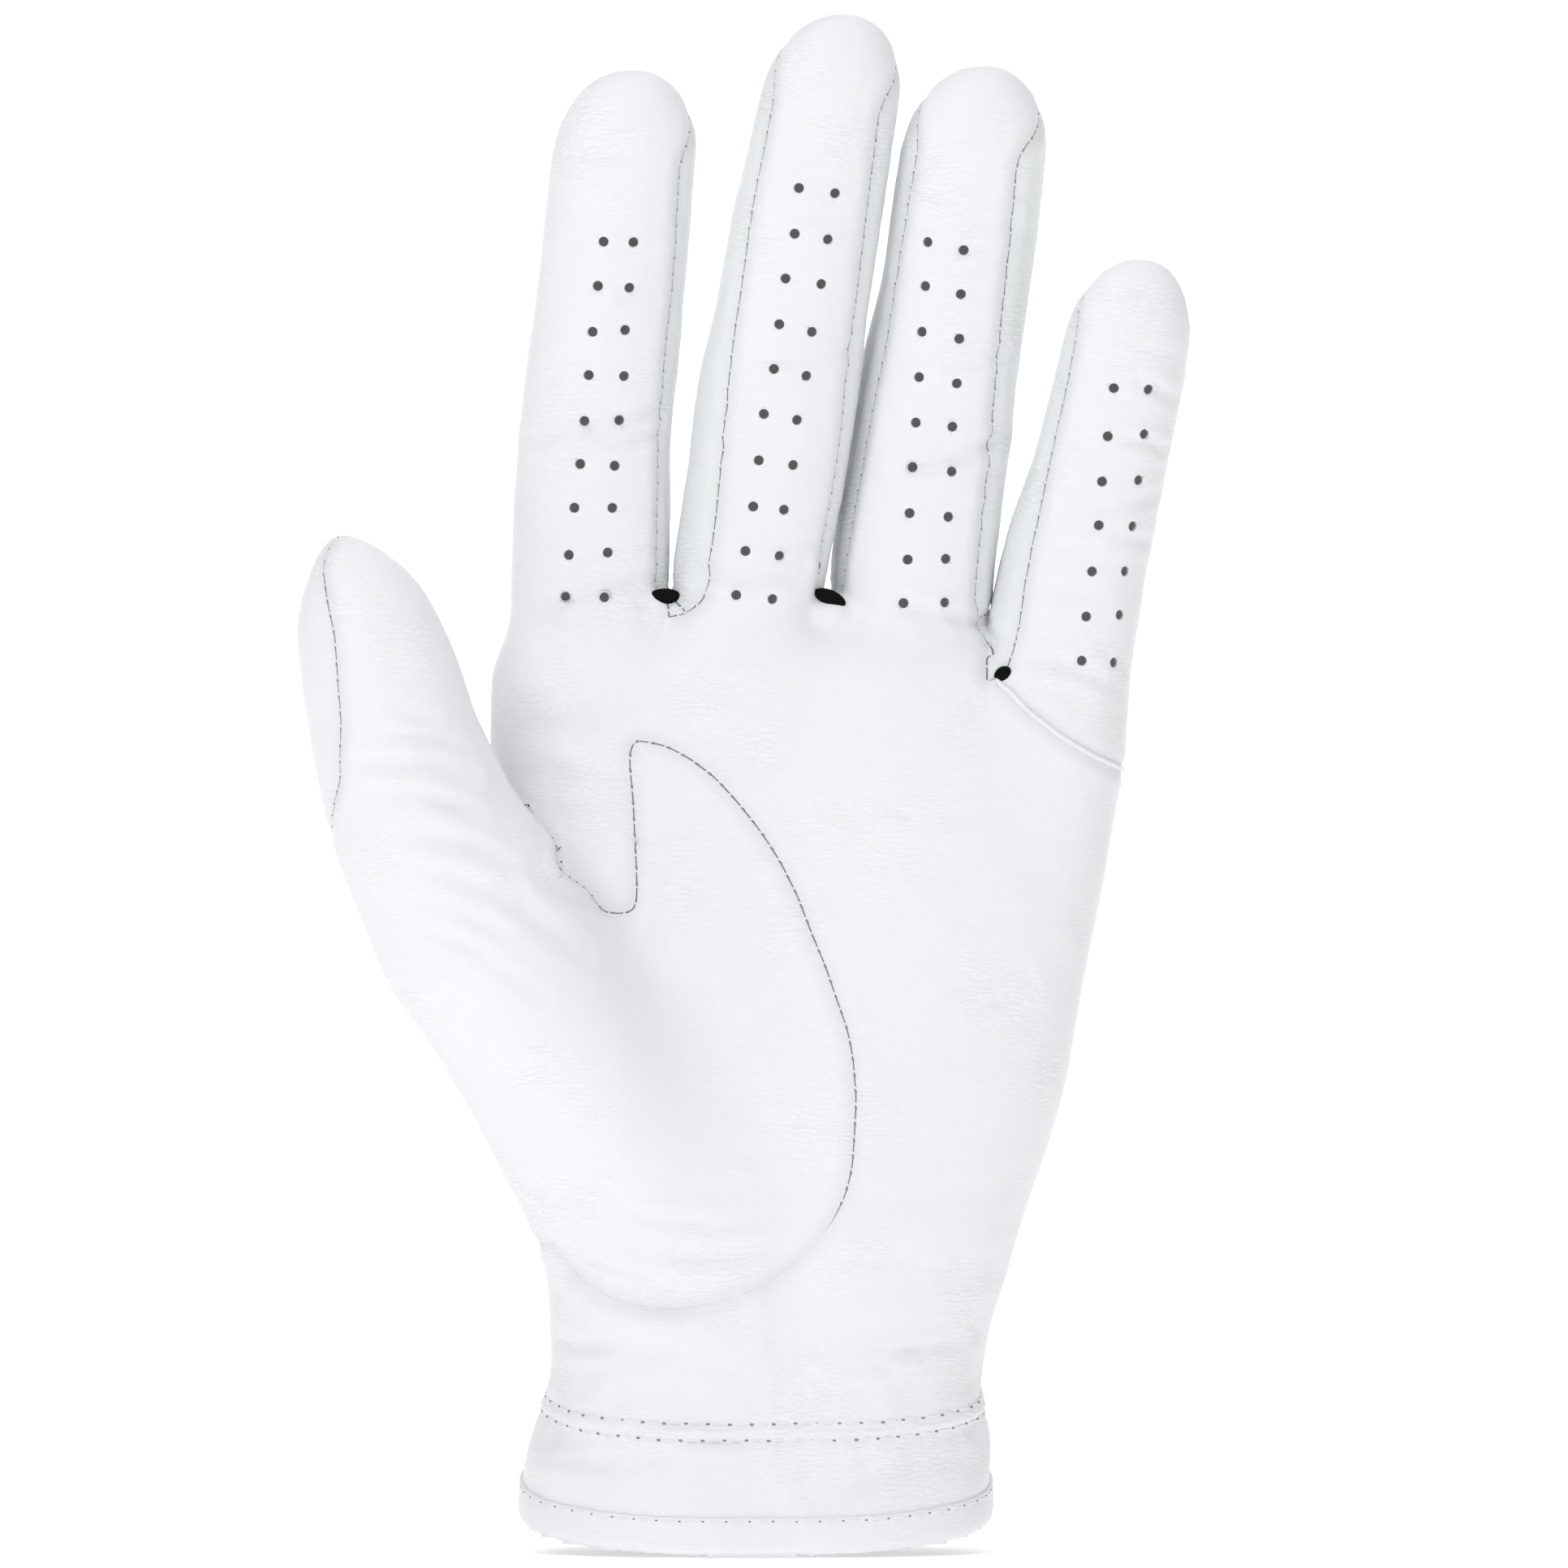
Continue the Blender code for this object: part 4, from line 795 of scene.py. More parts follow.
# Slow unevenness all over, and gathers above and below the wrist elastic
SLOW_BUMPS, QUICK_BUMPS = (0.20, 13.0), (0.07, 4.6)
for i, p in enumerate(skin.tolist()):
    raised[i] += sum(deep * noise.noise(Vector(p) / long) for deep, long in (SLOW_BUMPS, QUICK_BUMPS))
wrist = z - WRIST_SLOPE * y
turn = np.arctan2(y, x - 1)
gather = np.sin(turn * 31 + 1.7 * np.sin(turn * 5)) * 0.10 + np.sin(turn * 17 + 2.0) * 0.08
raised += gather * np.exp(-(((wrist - 20.0) / 3.2) ** 2)) + gather * np.exp(-(((wrist - 12.0) / 3.0) ** 2))
CHANNEL_RIDGE, CHANNEL_DENT = 0.42, 0.34
raised += CHANNEL_RIDGE * np.exp(-(((wrist - (WRIST_LOW + WRIST_HIGH) / 2) / 0.85) ** 2))
low_dent, high_dent = (np.exp(-(((wrist - row) / 0.8) ** 2)) for row in (WRIST_LOW, WRIST_HIGH))
raised -= CHANNEL_DENT * low_dent + CHANNEL_DENT * high_dent

# Every seam draws the leather in, unevenly, with a low roll on each side
seam_points = []
for runs in seams.values():
    for run in runs:
        a, b = skin[run[:-1]], skin[run[1:]]
        seam_points.extend(a.tolist() + ((a + b) / 2).tolist())
seam_tree = KDTree(len(seam_points))
for i, p in enumerate(seam_points):
    seam_tree.insert(p, i)
seam_tree.balance()
to_seam = np.full(len(skin), 20.0)
for i, p in enumerate(skin.tolist()):
    to_seam[i] = seam_tree.find(p)[2]
pull = np.array([noise.noise(Vector(p) / 1.9) for p in skin.tolist()])
SEAM_DRAW, SEAM_ROLL, ROLL_AWAY = 0.30, 0.13, 2.2
raised -= (SEAM_DRAW + 0.10 * pull) * np.exp(-((to_seam / 1.0) ** 2))
raised += (SEAM_ROLL + 0.09 * pull) * np.exp(-(((to_seam - ROLL_AWAY) / 1.1) ** 2))
leather = skin + flat_normal * raised[:, None]


# --- Leather panels ------------------------------------------------------------------------------
# White lambskin 0.75 mm thick, cut to shape and sewn edge to edge with the edges turned in. The
# fronts of the fingers have two rows of punched holes.

LEATHER = 0.75
EDGE_PROFILE = [(0.26, 0.0), (0.12, -0.03), (0.022, -0.14), (0.016, -LEATHER)]
ROLLED_FOLD_LOW, ROLLED_FOLD_TOP = 27, 43.0
HOLE_ROWS = {
    "index": (9, (-21.5, 179.4), (-17.0, 179.2), (-26.7, 129.4), (-21.2, 129.5)),
    "middle": (10, (6.3, 186.9), (11.3, 186.2), (-2.5, 129.5), (2.3, 128.9)),
    "ring": (9, (24.4, 179.6), (29.6, 178.3), (20.9, 128.5), (26.7, 128.5)),
    "little": (7, (50.6, 158.5), (55.8, 158.6), (46.1, 120.3), (50.9, 120.3)),
}
HOLE_RADIUS, HOLE_MARGIN = 0.70, 1.25


def face_normals(points, faces):
    a, b, c, d = (points[faces[:, i]] for i in range(4))
    return np.cross(c - a, d - b)


def point_normals(points, faces):
    total = np.zeros_like(points)
    flat = face_normals(points, faces)
    for corner in range(4):
        np.add.at(total, faces[:, corner], flat)
    return total / np.maximum(np.linalg.norm(total, axis=1), 1e-9)[:, None]


def hole_places(name):
    rows, top_left, top_right, low_left, low_right = HOLE_ROWS[name]
    for row in range(rows):
        share = row / (rows - 1)
        for top, low in ((top_left, low_left), (top_right, low_right)):
            spot = np.array(top) + (np.array(low) - np.array(top)) * share + rng.normal(0, 0.12, 2)
            yield on_skin(spot[0], spot[1])


def ring_around(points, faces, centre, margin):
    """Takes out the faces near a point; gives the rest, and the loop of points round the gap."""
    middle = points[faces].mean(axis=1)
    out = np.linalg.norm(middle - centre, axis=1) < margin
    gone = faces[out]
    edges = {(int(a), int(b)) for face in gone for a, b in zip(face, np.roll(face, -1))}
    follow = {a: b for a, b in edges if (b, a) not in edges}
    start = next(iter(follow))
    loop = [start]
    while follow[loop[-1]] != start:
        loop.append(follow[loop[-1]])
    return faces[~out], loop


def panel_mesh(name, holes):
    """One cut panel with its thickness, edges and holes: its points, where each lies on the bare skin,
    its faces, which of them face inwards, and how near each point is to a seam."""
    mine = quads[label == PANELS.index(name)]
    used, faces = np.unique(mine, return_inverse=True)
    faces = faces.reshape(mine.shape)
    points = leather[used].copy()
    normals = point_normals(points, faces)
    edges = np.stack([faces.ravel(), np.roll(faces, -1, axis=1).ravel()], axis=1)
    keys = set(map(tuple, edges.tolist()))
    rim = np.array([e for e in edges.tolist() if (e[1], e[0]) not in keys])
    along = points[rim[:, 1]] - points[rim[:, 0]]
    outward = np.zeros_like(points)
    sideways = np.cross(along, normals[rim[:, 0]])
    np.add.at(outward, rim[:, 0], sideways)
    np.add.at(outward, rim[:, 1], sideways)
    outward /= np.maximum(np.linalg.norm(outward, axis=1), 1e-9)[:, None]
    on_rim = np.unique(rim)
    seam_line = points[on_rim].copy()

    # Under the ball of the thumb the edges lie in a rolled fold that closes over them
    rim_y, rim_z = skin[used[on_rim], 1], skin[used[on_rim], 2]
    open_seam = rise((rim_z - ROLLED_FOLD_TOP + 4) / 6) if "thumb" in name or name == "palm" else 1.0
    open_seam = np.where((rim_z < ROLLED_FOLD_LOW) | (rim_y > 0), 1.0, open_seam)[:, None]

    def edge_ring(inset, lift):
        shallow = lift * (open_seam if lift > -LEATHER else 1.0)
        return seam_line - outward[on_rim] * inset * np.maximum(open_seam, 0.12) + normals[on_rim] * shallow

    points[on_rim] = edge_ring(*EDGE_PROFILE[0])
    inner = points - normals * LEATHER
    inner[on_rim] = edge_ring(*EDGE_PROFILE[-1])
    blocks, homes = [points, inner], [skin[used], skin[used]]
    size = len(points)
    rings = [dict(zip(on_rim.tolist(), on_rim.tolist()))]
    for step, profile in enumerate(EDGE_PROFILE[1:-1]):
        start = 2 * size + step * len(on_rim)
        rings.append({int(v): start + i for i, v in enumerate(on_rim)})
        blocks.append(edge_ring(*profile))
        homes.append(skin[used[on_rim]])
    rings.append({int(v): int(v) + size for v in on_rim})
    made = []
    for a, b in rim.tolist():
        for upper, lower in zip(rings, rings[1:]):
            made.append((upper[b], upper[a], lower[a], lower[b]))
    total = sum(len(block) for block in blocks)
    for centre, normal in holes:
        i = np.argmin(np.linalg.norm(points - centre, axis=1))
        centre = centre + normal * ((points[i] - centre) @ normal)
        faces, loop = ring_around(points, faces, centre, HOLE_MARGIN)
        u = np.cross(normal, (0.0, 0.0, 1.0))
        u /= np.linalg.norm(u)
        v = np.cross(normal, u)
        offsets = points[loop] - centre
        angles = np.unwrap(np.arctan2(offsets @ v, offsets @ u))
        turn = np.sign(angles[-1] - angles[0])
        angles = np.append(angles, angles[0] + turn * 2 * math.pi)
        fine = np.stack([angles[:-1], (angles[:-1] + angles[1:]) / 2], axis=1).ravel()
        count = len(fine)
        circle = np.cos(fine)[:, None] * u + np.sin(fine)[:, None] * v
        for radius, lift in ((HOLE_RADIUS + 0.16, 0.0), (HOLE_RADIUS, -0.10),
                             (HOLE_RADIUS - 0.03, -LEATHER)):
            blocks.append(centre + circle * radius + normal * lift)
            homes.append(np.repeat(skin[used[i]][None], count, axis=0))
        first, second, third = (total + k * count for k in range(3))
        for k in range(len(loop)):
            after = (k + 1) % len(loop)
            outer = (first + 2 * k, first + 2 * k + 1, first + 2 * after)
            made.append((loop[k], loop[after], outer[2], outer[1], outer[0]))
            low = (third + 2 * k, third + 2 * k + 1, third + 2 * after)
            made.append((size + loop[after], size + loop[k], low[0], low[1], low[2]))
        for k in range(count):
            after = (k + 1) % count
            made.append((first + k, first + after, second + after, second + k))
            made.append((second + k, second + after, third + after, third + k))
        total += 3 * count
    outer_faces = faces.tolist()
    inner_faces = (faces[:, ::-1] + size).tolist()
    everything = np.concatenate(blocks)
    tag = [0] * len(outer_faces) + [1] * len(inner_faces) + [0] * len(made)
    # How near each point is to a seam, 1 on the turned-in edges: the mask of the painted shade along the
    # seams
    near_seam = np.zeros(len(everything))
    near_seam[:size] = np.exp(-((to_seam[used] / 1.4) ** 2))
    near_seam[on_rim] = 1.0
    near_seam[2 * size:2 * size + 2 * len(on_rim)] = 1.0
    return everything, np.concatenate(homes), outer_faces + inner_faces + made, tag, near_seam


def add_node(tree, kind, values=None, **settings):
    """A node with its settings, and its inputs set to a value or linked from a socket."""
    node = tree.nodes.new(kind)
    for key, value in settings.items():
        setattr(node, key, value)
    for key, value in (values or {}).items():
        if isinstance(value, bpy.types.NodeSocket):
            tree.links.new(value, node.inputs[key])
        else:
            node.inputs[key].default_value = value
    return node


def new_group(name, ins, outs):
    """An empty node group with named inputs (name: default) and named outputs (name: kind)."""
    group = bpy.data.node_groups.new(name, "ShaderNodeTree")
    for key, value in ins.items():
        kind = "NodeSocketColor" if isinstance(value, tuple) else "NodeSocketFloat"
        if value is None:
            kind = "NodeSocketVector"
        made = group.interface.new_socket(key, in_out="INPUT", socket_type=kind)
        if value is not None:
            made.default_value = value
    for key, kind in outs.items():
        group.interface.new_socket(key, in_out="OUTPUT", socket_type=kind)
    return group, group.nodes.new("NodeGroupInput"), group.nodes.new("NodeGroupOutput")


def leather_grain():
    """Colour, roughness and height of soft leather: fine pebbles, hair creases, slow mottling, and painted
    shade that darkens it along the seams.
    """
    group, given, result = new_group(
        "leather_grain", {"Place": None, "Colour": (0.8, 0.8, 0.8, 1), "Crease": 1.0, "Seam": 0.0},
        {"Colour": "NodeSocketColor", "Roughness": "NodeSocketFloat", "Height": "NodeSocketFloat"})
    place = given.outputs["Place"]
    pebble = add_node(group, "ShaderNodeTexVoronoi", {"Vector": place, "Scale": 1900.0}, feature="F1")
    stretch = add_node(group, "ShaderNodeVectorMath", {0: place, 1: (1.0, 1.0, 3.4)}, operation="MULTIPLY")
    warp = add_node(group, "ShaderNodeTexNoise", {"Vector": place, "Scale": 130.0, "Detail": 2.0})
    shift = add_node(group, "ShaderNodeVectorMath", {0: warp.outputs["Color"], 1: (0.004, 0.004, 0.012)},
                     operation="MULTIPLY")
    bent = add_node(group, "ShaderNodeVectorMath", {0: stretch.outputs[0], 1: shift.outputs[0]},
                    operation="ADD")
    hair = add_node(group, "ShaderNodeTexVoronoi", {"Vector": bent.outputs[0], "Scale": 420.0},
                    feature="DISTANCE_TO_EDGE")
    line = add_node(group, "ShaderNodeMapRange", {"Value": hair.outputs["Distance"], "From Max": 0.16})
    slow = add_node(group, "ShaderNodeTexNoise", {"Vector": place, "Scale": 60.0, "Detail": 3.0})
    where = add_node(group, "ShaderNodeMapRange",
                     {"Value": slow.outputs["Fac"], "From Min": 0.40, "From Max": 0.66})
    amount = add_node(group, "ShaderNodeMath", {0: where.outputs[0], 1: given.outputs["Crease"]},
                      operation="MULTIPLY")
    dent = add_node(group, "ShaderNodeMath", {0: 1.0, 1: line.outputs[0]}, operation="SUBTRACT")
    creased = add_node(group, "ShaderNodeMath", {0: dent.outputs[0], 1: amount.outputs[0]},
                       operation="MULTIPLY")
    fine = add_node(group, "ShaderNodeMath", {0: pebble.outputs["Distance"], 1: -0.22},
                    operation="MULTIPLY")
    height = add_node(group, "ShaderNodeMath", {0: fine.outputs[0], 1: creased.outputs[0]},
                      operation="SUBTRACT")
    group.links.new(height.outputs[0], result.inputs["Height"])
    tone = add_node(group, "ShaderNodeMapRange",
                    {"Value": slow.outputs["Fac"], "From Min": 0.3, "From Max": 0.7,
                                                  "To Min": 0.975, "To Max": 1.01})
    # Painted shade: the colour is darkened along the seams and on the turned-in edges, by the seam mask
    seam_shade = add_node(group, "ShaderNodeMath", {0: given.outputs["Seam"], 1: -0.07}, operation="MULTIPLY")
    tone = add_node(group, "ShaderNodeMath", {0: tone.outputs[0], 1: seam_shade.outputs[0]}, operation="ADD")
    colour = add_node(group, "ShaderNodeVectorMath", {0: given.outputs["Colour"], 3: tone.outputs[0]},
                      operation="SCALE")
    group.links.new(colour.outputs[0], result.inputs["Colour"])
    rough = add_node(group, "ShaderNodeMapRange",
                     {"Value": pebble.outputs["Distance"], "To Min": 0.44, "To Max": 0.58})
    group.links.new(rough.outputs[0], result.inputs["Roughness"])
    return group


GRAIN = leather_grain()


def leather_material(name, colour, crease, bump):
    """Soft glove leather: the grain group feeding a Principled surface."""
    material = bpy.data.materials.new(name)
    material.use_nodes = True
    tree = material.node_tree
    surface = tree.nodes["Principled BSDF"]
    place = add_node(tree, "ShaderNodeTexCoord").outputs["Object"]
    # The seam mask, which darkens the leather as painted shade along the seams
    seam = add_node(tree, "ShaderNodeAttribute", attribute_name="seam").outputs["Fac"]
    grain = add_node(tree, "ShaderNodeGroup", node_tree=GRAIN)
    tree.links.new(place, grain.inputs["Place"])
    tree.links.new(seam, grain.inputs["Seam"])
    grain.inputs["Colour"].default_value = (*colour, 1)
    grain.inputs["Crease"].default_value = crease
    tree.links.new(grain.outputs["Colour"], surface.inputs["Base Color"])
    tree.links.new(grain.outputs["Roughness"], surface.inputs["Roughness"])
    bumps = add_node(tree, "ShaderNodeBump",
                     {"Height": grain.outputs["Height"], "Strength": bump, "Distance": 0.00012})
    tree.links.new(bumps.outputs["Normal"], surface.inputs["Normal"])
    surface.inputs["Specular IOR Level"].default_value = 0.35
    surface.inputs["Sheen Weight"].default_value = 0.08
    return material


WHITE_LEATHER = leather_material("white_leather", (0.80, 0.795, 0.825), 1.0, 0.55)
# The strips between the fingers crease more, and their colour is painted shade: a little darker and cooler
# than the white leather
SHADED_STRIP_LEATHER = leather_material("strip_leather", (0.77, 0.79, 0.80), 1.3, 0.6)
FLESH_SIDE = leather_material("flesh_side", (0.62, 0.61, 0.60), 0.3, 0.9)
# The light that thin leather lets through
FLESH_SIDE.node_tree.nodes["Principled BSDF"].inputs["Emission Color"].default_value = (0.95, 0.95, 1.0, 1)
FLESH_SIDE.node_tree.nodes["Principled BSDF"].inputs["Emission Strength"].default_value = 0.04

# The finger and thumb leather is split at the joints: each panel is one mesh per stretch between them
THUMB_ROOT, THUMB_TIP = np.array([-46.4, -21.0, 97.0]), np.array([-57.6, -23.5, 136.0])
THUMB_AXIS = (THUMB_TIP - THUMB_ROOT) / np.linalg.norm(THUMB_TIP - THUMB_ROOT)
THUMB_BENDS = ((-0.5, 10.5), (10.5, 27.5))
STRETCHES = {"hand": None}
for name, spec in FINGERS.items():
    for part, (low, high), bodies in (("lower", spec["bends"][0], ("hand", f"{name}_base")),
                                      ("upper", spec["bends"][1], (f"{name}_base", f"{name}_tip"))):
        STRETCHES[f"{name}_{part}"] = (*bodies, spec["root"] + spec["axis"] * low,
                                       spec["root"] + spec["axis"] * high)
for part, (low, high), bodies in (("lower", THUMB_BENDS[0], ("hand", "thumb_base")),
                                  ("upper", THUMB_BENDS[1], ("thumb_base", "thumb_tip"))):
    STRETCHES[f"thumb_{part}"] = (*bodies, THUMB_ROOT + THUMB_AXIS * low, THUMB_ROOT + THUMB_AXIS * high)
STRETCH_NAMES = list(STRETCHES)


def digits_of(panel):
    """The fingers that a panel covers, or the thumb."""
    if panel.startswith("thumb"):
        return ["thumb"]
    return {"palm": ["index", "middle", "ring"], "back": list(FINGERS)}.get(panel, [panel.split("_")[0]])


def stretch_of(p, panel):
    """Number of the stretch of a panel that each point lies in."""
    x, y, z = p.T
    found = np.zeros(len(p), int)
    fields = np.stack([finger_field(spec, x, y, z) for spec in FINGERS.values()], axis=1)
    fields[:, [name not in digits_of(panel) for name in FINGERS]] = 1e3
    nearest = fields.argmin(axis=1)
    for digit in digits_of(panel):
        if digit == "thumb":
            (low, middle), _ = THUMB_BENDS
            along = (p - THUMB_ROOT) @ THUMB_AXIS
            here = (along > low) & (x < -31)
        else:
            (low, middle), _ = FINGERS[digit]["bends"]
            along = along_finger(FINGERS[digit], x, y, z)
            here = (nearest == list(FINGERS).index(digit)) & (along > low)
        found[here] = STRETCH_NAMES.index(f"{digit}_lower")
        found[here & (along > middle)] = STRETCH_NAMES.index(f"{digit}_upper")
    return found


def place_on(obj, stretch):
    """Fixes a piece to the hand; a piece of a finger or thumb stretch is only baked in place."""
    if STRETCHES[stretch] is None:
        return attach(obj, "hand")
    a, b, start, end = STRETCHES[stretch]
    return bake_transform(obj)


def mesh_object(name, points, faces, materials, tags=None, normals=None, seam=None, smooth=True):
    """A mesh object from points in millimetres."""
    mesh = bpy.data.meshes.new(name)
    mesh.from_pydata((np.asarray(points) * MM).tolist(), [], faces)
    for material in materials:
        mesh.materials.append(material)
    if tags is not None:
        mesh.polygons.foreach_set("material_index", tags)
    if smooth:
        mesh.shade_smooth()
    if seam is not None:
        mesh.attributes.new("seam", "FLOAT", "POINT").data.foreach_set("value",
                                                                       np.asarray(seam, np.float32))
    if normals is not None:
        mesh.normals_split_custom_set_from_vertices(normals.tolist())
    made = bpy.data.objects.new(name, mesh)
    bpy.context.scene.collection.objects.link(made)
    return made


def split_mesh(points, faces, parts, tags, normals, seam):
    """Yields the mesh of each part number that its faces have."""
    for part in np.unique(parts):
        mine = np.nonzero(parts == part)[0]
        chosen = [faces[i] for i in mine]
        used = np.unique(np.concatenate([np.asarray(f) for f in chosen]))
        renumber = dict(zip(used.tolist(), range(len(used))))
        again = [tuple(renumber[v] for v in face) for face in chosen]
        yield part, points[used], again, [tags[i] for i in mine], normals[used], seam[used]


def mixed_normals(points, faces):
    """Smooth point normals for faces with any number of corners."""
    total = np.zeros_like(points)
    for count in {len(face) for face in faces}:
        group = np.array([face for face in faces if len(face) == count])
        flat = np.zeros((len(group), 3))
        for k in range(1, count - 1):
            flat += np.cross(points[group[:, k]] - points[group[:, 0]],
                             points[group[:, k + 1]] - points[group[:, 0]])
        for k in range(count):
            np.add.at(total, group[:, k], flat)
    return total / np.maximum(np.linalg.norm(total, axis=1), 1e-9)[:, None]


def nodes_behind(panel, stretch):
    """The CAD nodes that one stretch of a panel stands for."""
    if stretch == "hand":
        return {"palm": ["palm_panel"], "back": ["back_panel"],
                "thumb_front": ["thumb_panel"]}.get(panel, [])
    digit, part = stretch.split("_")
    level = "base" if part == "lower" else "tip"
    fold = f"{digit}_base_fold" if part == "lower" else f"{digit}_knuckle_fold"
    if digit == "thumb":
        return {"thumb_front": [fold, f"thumb_{level}_front"],
                "thumb_back": [f"thumb_{level}_back"]}.get(panel, [])
    if panel.endswith("strip"):
        owner, side, _ = panel.split("_")
        return [f"{digit}_{level}_fourchette_{side}"] if owner == digit else []
    if panel == "back":
        return [f"{digit}_{level}_back"]
    front = "little_front" if digit == "little" else "palm"
    return [fold, f"{digit}_{level}_palm"] if panel == front else []


for panel in PANELS:
    if panel == "slit":
        continue
    holes = []
    if panel == "palm":
        holes = [hole for name in ("index", "middle", "ring") for hole in hole_places(name)]
    if panel == "little_front":
        holes = list(hole_places("little"))
    points, homes, faces, tags, near_seam = panel_mesh(panel, holes)
    normals = mixed_normals(points, faces)
    parts = stretch_of(np.array([homes[list(face)].mean(axis=0) for face in faces]), panel)
    outside = WHITE_LEATHER
    if panel.endswith("strip"):
        outside = SHADED_STRIP_LEATHER
    for part, *mesh in split_mesh(points, faces, parts, tags, normals, near_seam):
        stretch = STRETCH_NAMES[part]
        name = panel if stretch == "hand" else f"{panel}_{stretch}"
        piece = mesh_object(name, mesh[0], mesh[1], (outside, FLESH_SIDE), mesh[2], mesh[3], mesh[4])
        place_on(piece, stretch)
        nodes = nodes_behind(panel, stretch)
        if nodes:
            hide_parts(*nodes)


# --- Stitches in the seams -----------------------------------------------------------------------
# Every seam is sewn with white thread; on the outside only a short bight shows at each needle hole,
# drawn down between the two edges.

def threads(places, directions, ups, length, radius, sink):
    """Short bent threads, one at each place: points and faces."""
    sections, around = 5, 6
    points, faces = [], []
    for place, ahead, up in zip(places, directions, ups):
        side = np.cross(up, ahead)
        base = len(points)
        for i in range(sections):
            share = 2 * i / (sections - 1) - 1
            middle = place + ahead * share * length / 2 - up * sink * share**4
            thick = radius * (1 - 0.45 * share**4)
            for k in range(around):
                turn = 2 * math.pi * k / around
                points.append(middle + (side * math.cos(turn) + up * math.sin(turn)) * thick)
        for i in range(sections - 1):
            for k in range(around):
                low, after = base + i * around, (k + 1) % around
                faces.append((low + k, low + after, low + around + after, low + around + k))
        faces.append(tuple(base + k for k in reversed(range(around))))
        faces.append(tuple(base + (sections - 1) * around + k for k in range(around)))
    return np.array(points), faces


def evenly(line, pitch, start=0.5):
    """Places and directions at an even pitch along a chain of points."""
    line = np.asarray(line)
    steps = np.linalg.norm(np.diff(line, axis=0), axis=1)
    far = np.concatenate([[0], np.cumsum(steps)])
    stops = np.arange(pitch * start, far[-1], pitch)
    spots = np.stack([np.interp(stops, far, line[:, i]) for i in range(3)], axis=1)
    ahead = np.stack([np.interp(stops + 0.3, far, line[:, i]) for i in range(3)], axis=1) - spots
    behind = spots - np.stack([np.interp(stops - 0.3, far, line[:, i]) for i in range(3)], axis=1)
    ahead = ahead + behind
    return spots, ahead / np.maximum(np.linalg.norm(ahead, axis=1), 1e-9)[:, None]


def plain_material(name, colour, roughness, bump_scale=None, bump=0.3, distance=0.0001, sheen=0.0):
    """One colour, with a fine unevenness of its own."""
    material = bpy.data.materials.new(name)
    material.use_nodes = True
    tree = material.node_tree
    surface = tree.nodes["Principled BSDF"]
    surface.inputs["Base Color"].default_value = (*colour, 1)
    surface.inputs["Roughness"].default_value = roughness
    surface.inputs["Sheen Weight"].default_value = sheen
    if bump_scale:
        place = add_node(tree, "ShaderNodeTexCoord").outputs["Object"]
        grain = add_node(tree, "ShaderNodeTexNoise", {"Vector": place, "Scale": bump_scale, "Detail": 3.0})
        bumps = add_node(tree, "ShaderNodeBump",
                         {"Height": grain.outputs["Fac"], "Strength": bump, "Distance": distance})
        tree.links.new(bumps.outputs["Normal"], surface.inputs["Normal"])
    return material


THREAD = plain_material("sewing_thread", (0.80, 0.80, 0.815), 0.75, 2600.0, 0.6)
# Painted shade: the dark grey of the discs that stand for the shade in each needle hole
NEEDLE_HOLE_SHADE = plain_material("needle_hole_painted_shade", (0.26, 0.26, 0.275), 0.9)
leather_tree = BVHTree.FromPolygons(leather.tolist(), quads.tolist())
SEAM_PITCH, SEAM_BIGHT, SEAM_THREAD = 2.3, 0.95, 0.13
sewn, painted_hole_shades = {}, {"hand": []}
SEAM_HOLE_SHADES = {"thenar": (0.27, 0.11), "other": (0.17, 0.07)}
for (first, second), runs in seams.items():
    if "slit" in (first, second):
        continue
    owner = second if second.endswith("strip") or second in ("little_front", "thumb_back") else first
    thenar = (first, second) == ("palm", "thumb_front")
    for run in runs:
        if len(run) < 8:
            continue
        spots, ahead = evenly(leather[run], SEAM_PITCH)
        for spot, along in zip(spots, ahead):
            if thenar and spot[2] < ROLLED_FOLD_TOP:
                continue
            near = flat_tree.find_nearest(Vector(spot))
            up = np.array(near[1])
            home = np.array(near[0])
            across = np.cross(up, along)
            slant = along * rng.uniform(0.5, 0.9) + across * 0.8
            slant /= np.linalg.norm(slant)
            part = stretch_of(home[None], owner if owner != "palm" or not thenar else "thumb_front")[0]
            group = "thenar" if thenar else STRETCH_NAMES[part]
            sewn.setdefault(group, []).append((spot - up * 0.02, slant, up))
            # A small dark disc beside each stitch is painted shade in its needle hole
            size = SEAM_HOLE_SHADES["thenar" if thenar else "other"]
            painted_hole_shades.setdefault(STRETCH_NAMES[part],
                            []).append((spot + along * 0.55 + up * 0.02, slant, up, *size))
for group, found in sewn.items():
    places, directions, ups = (np.array(column) for column in zip(*found))
    points, faces = threads(places, directions, ups, SEAM_BIGHT, SEAM_THREAD, 0.25)
    piece = mesh_object(f"seam_thread_{group}", points, faces, (THREAD,))
    place_on(piece, "hand" if group == "thenar" else group)
    if group == "thenar":
        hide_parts("thumb_panel_thread")
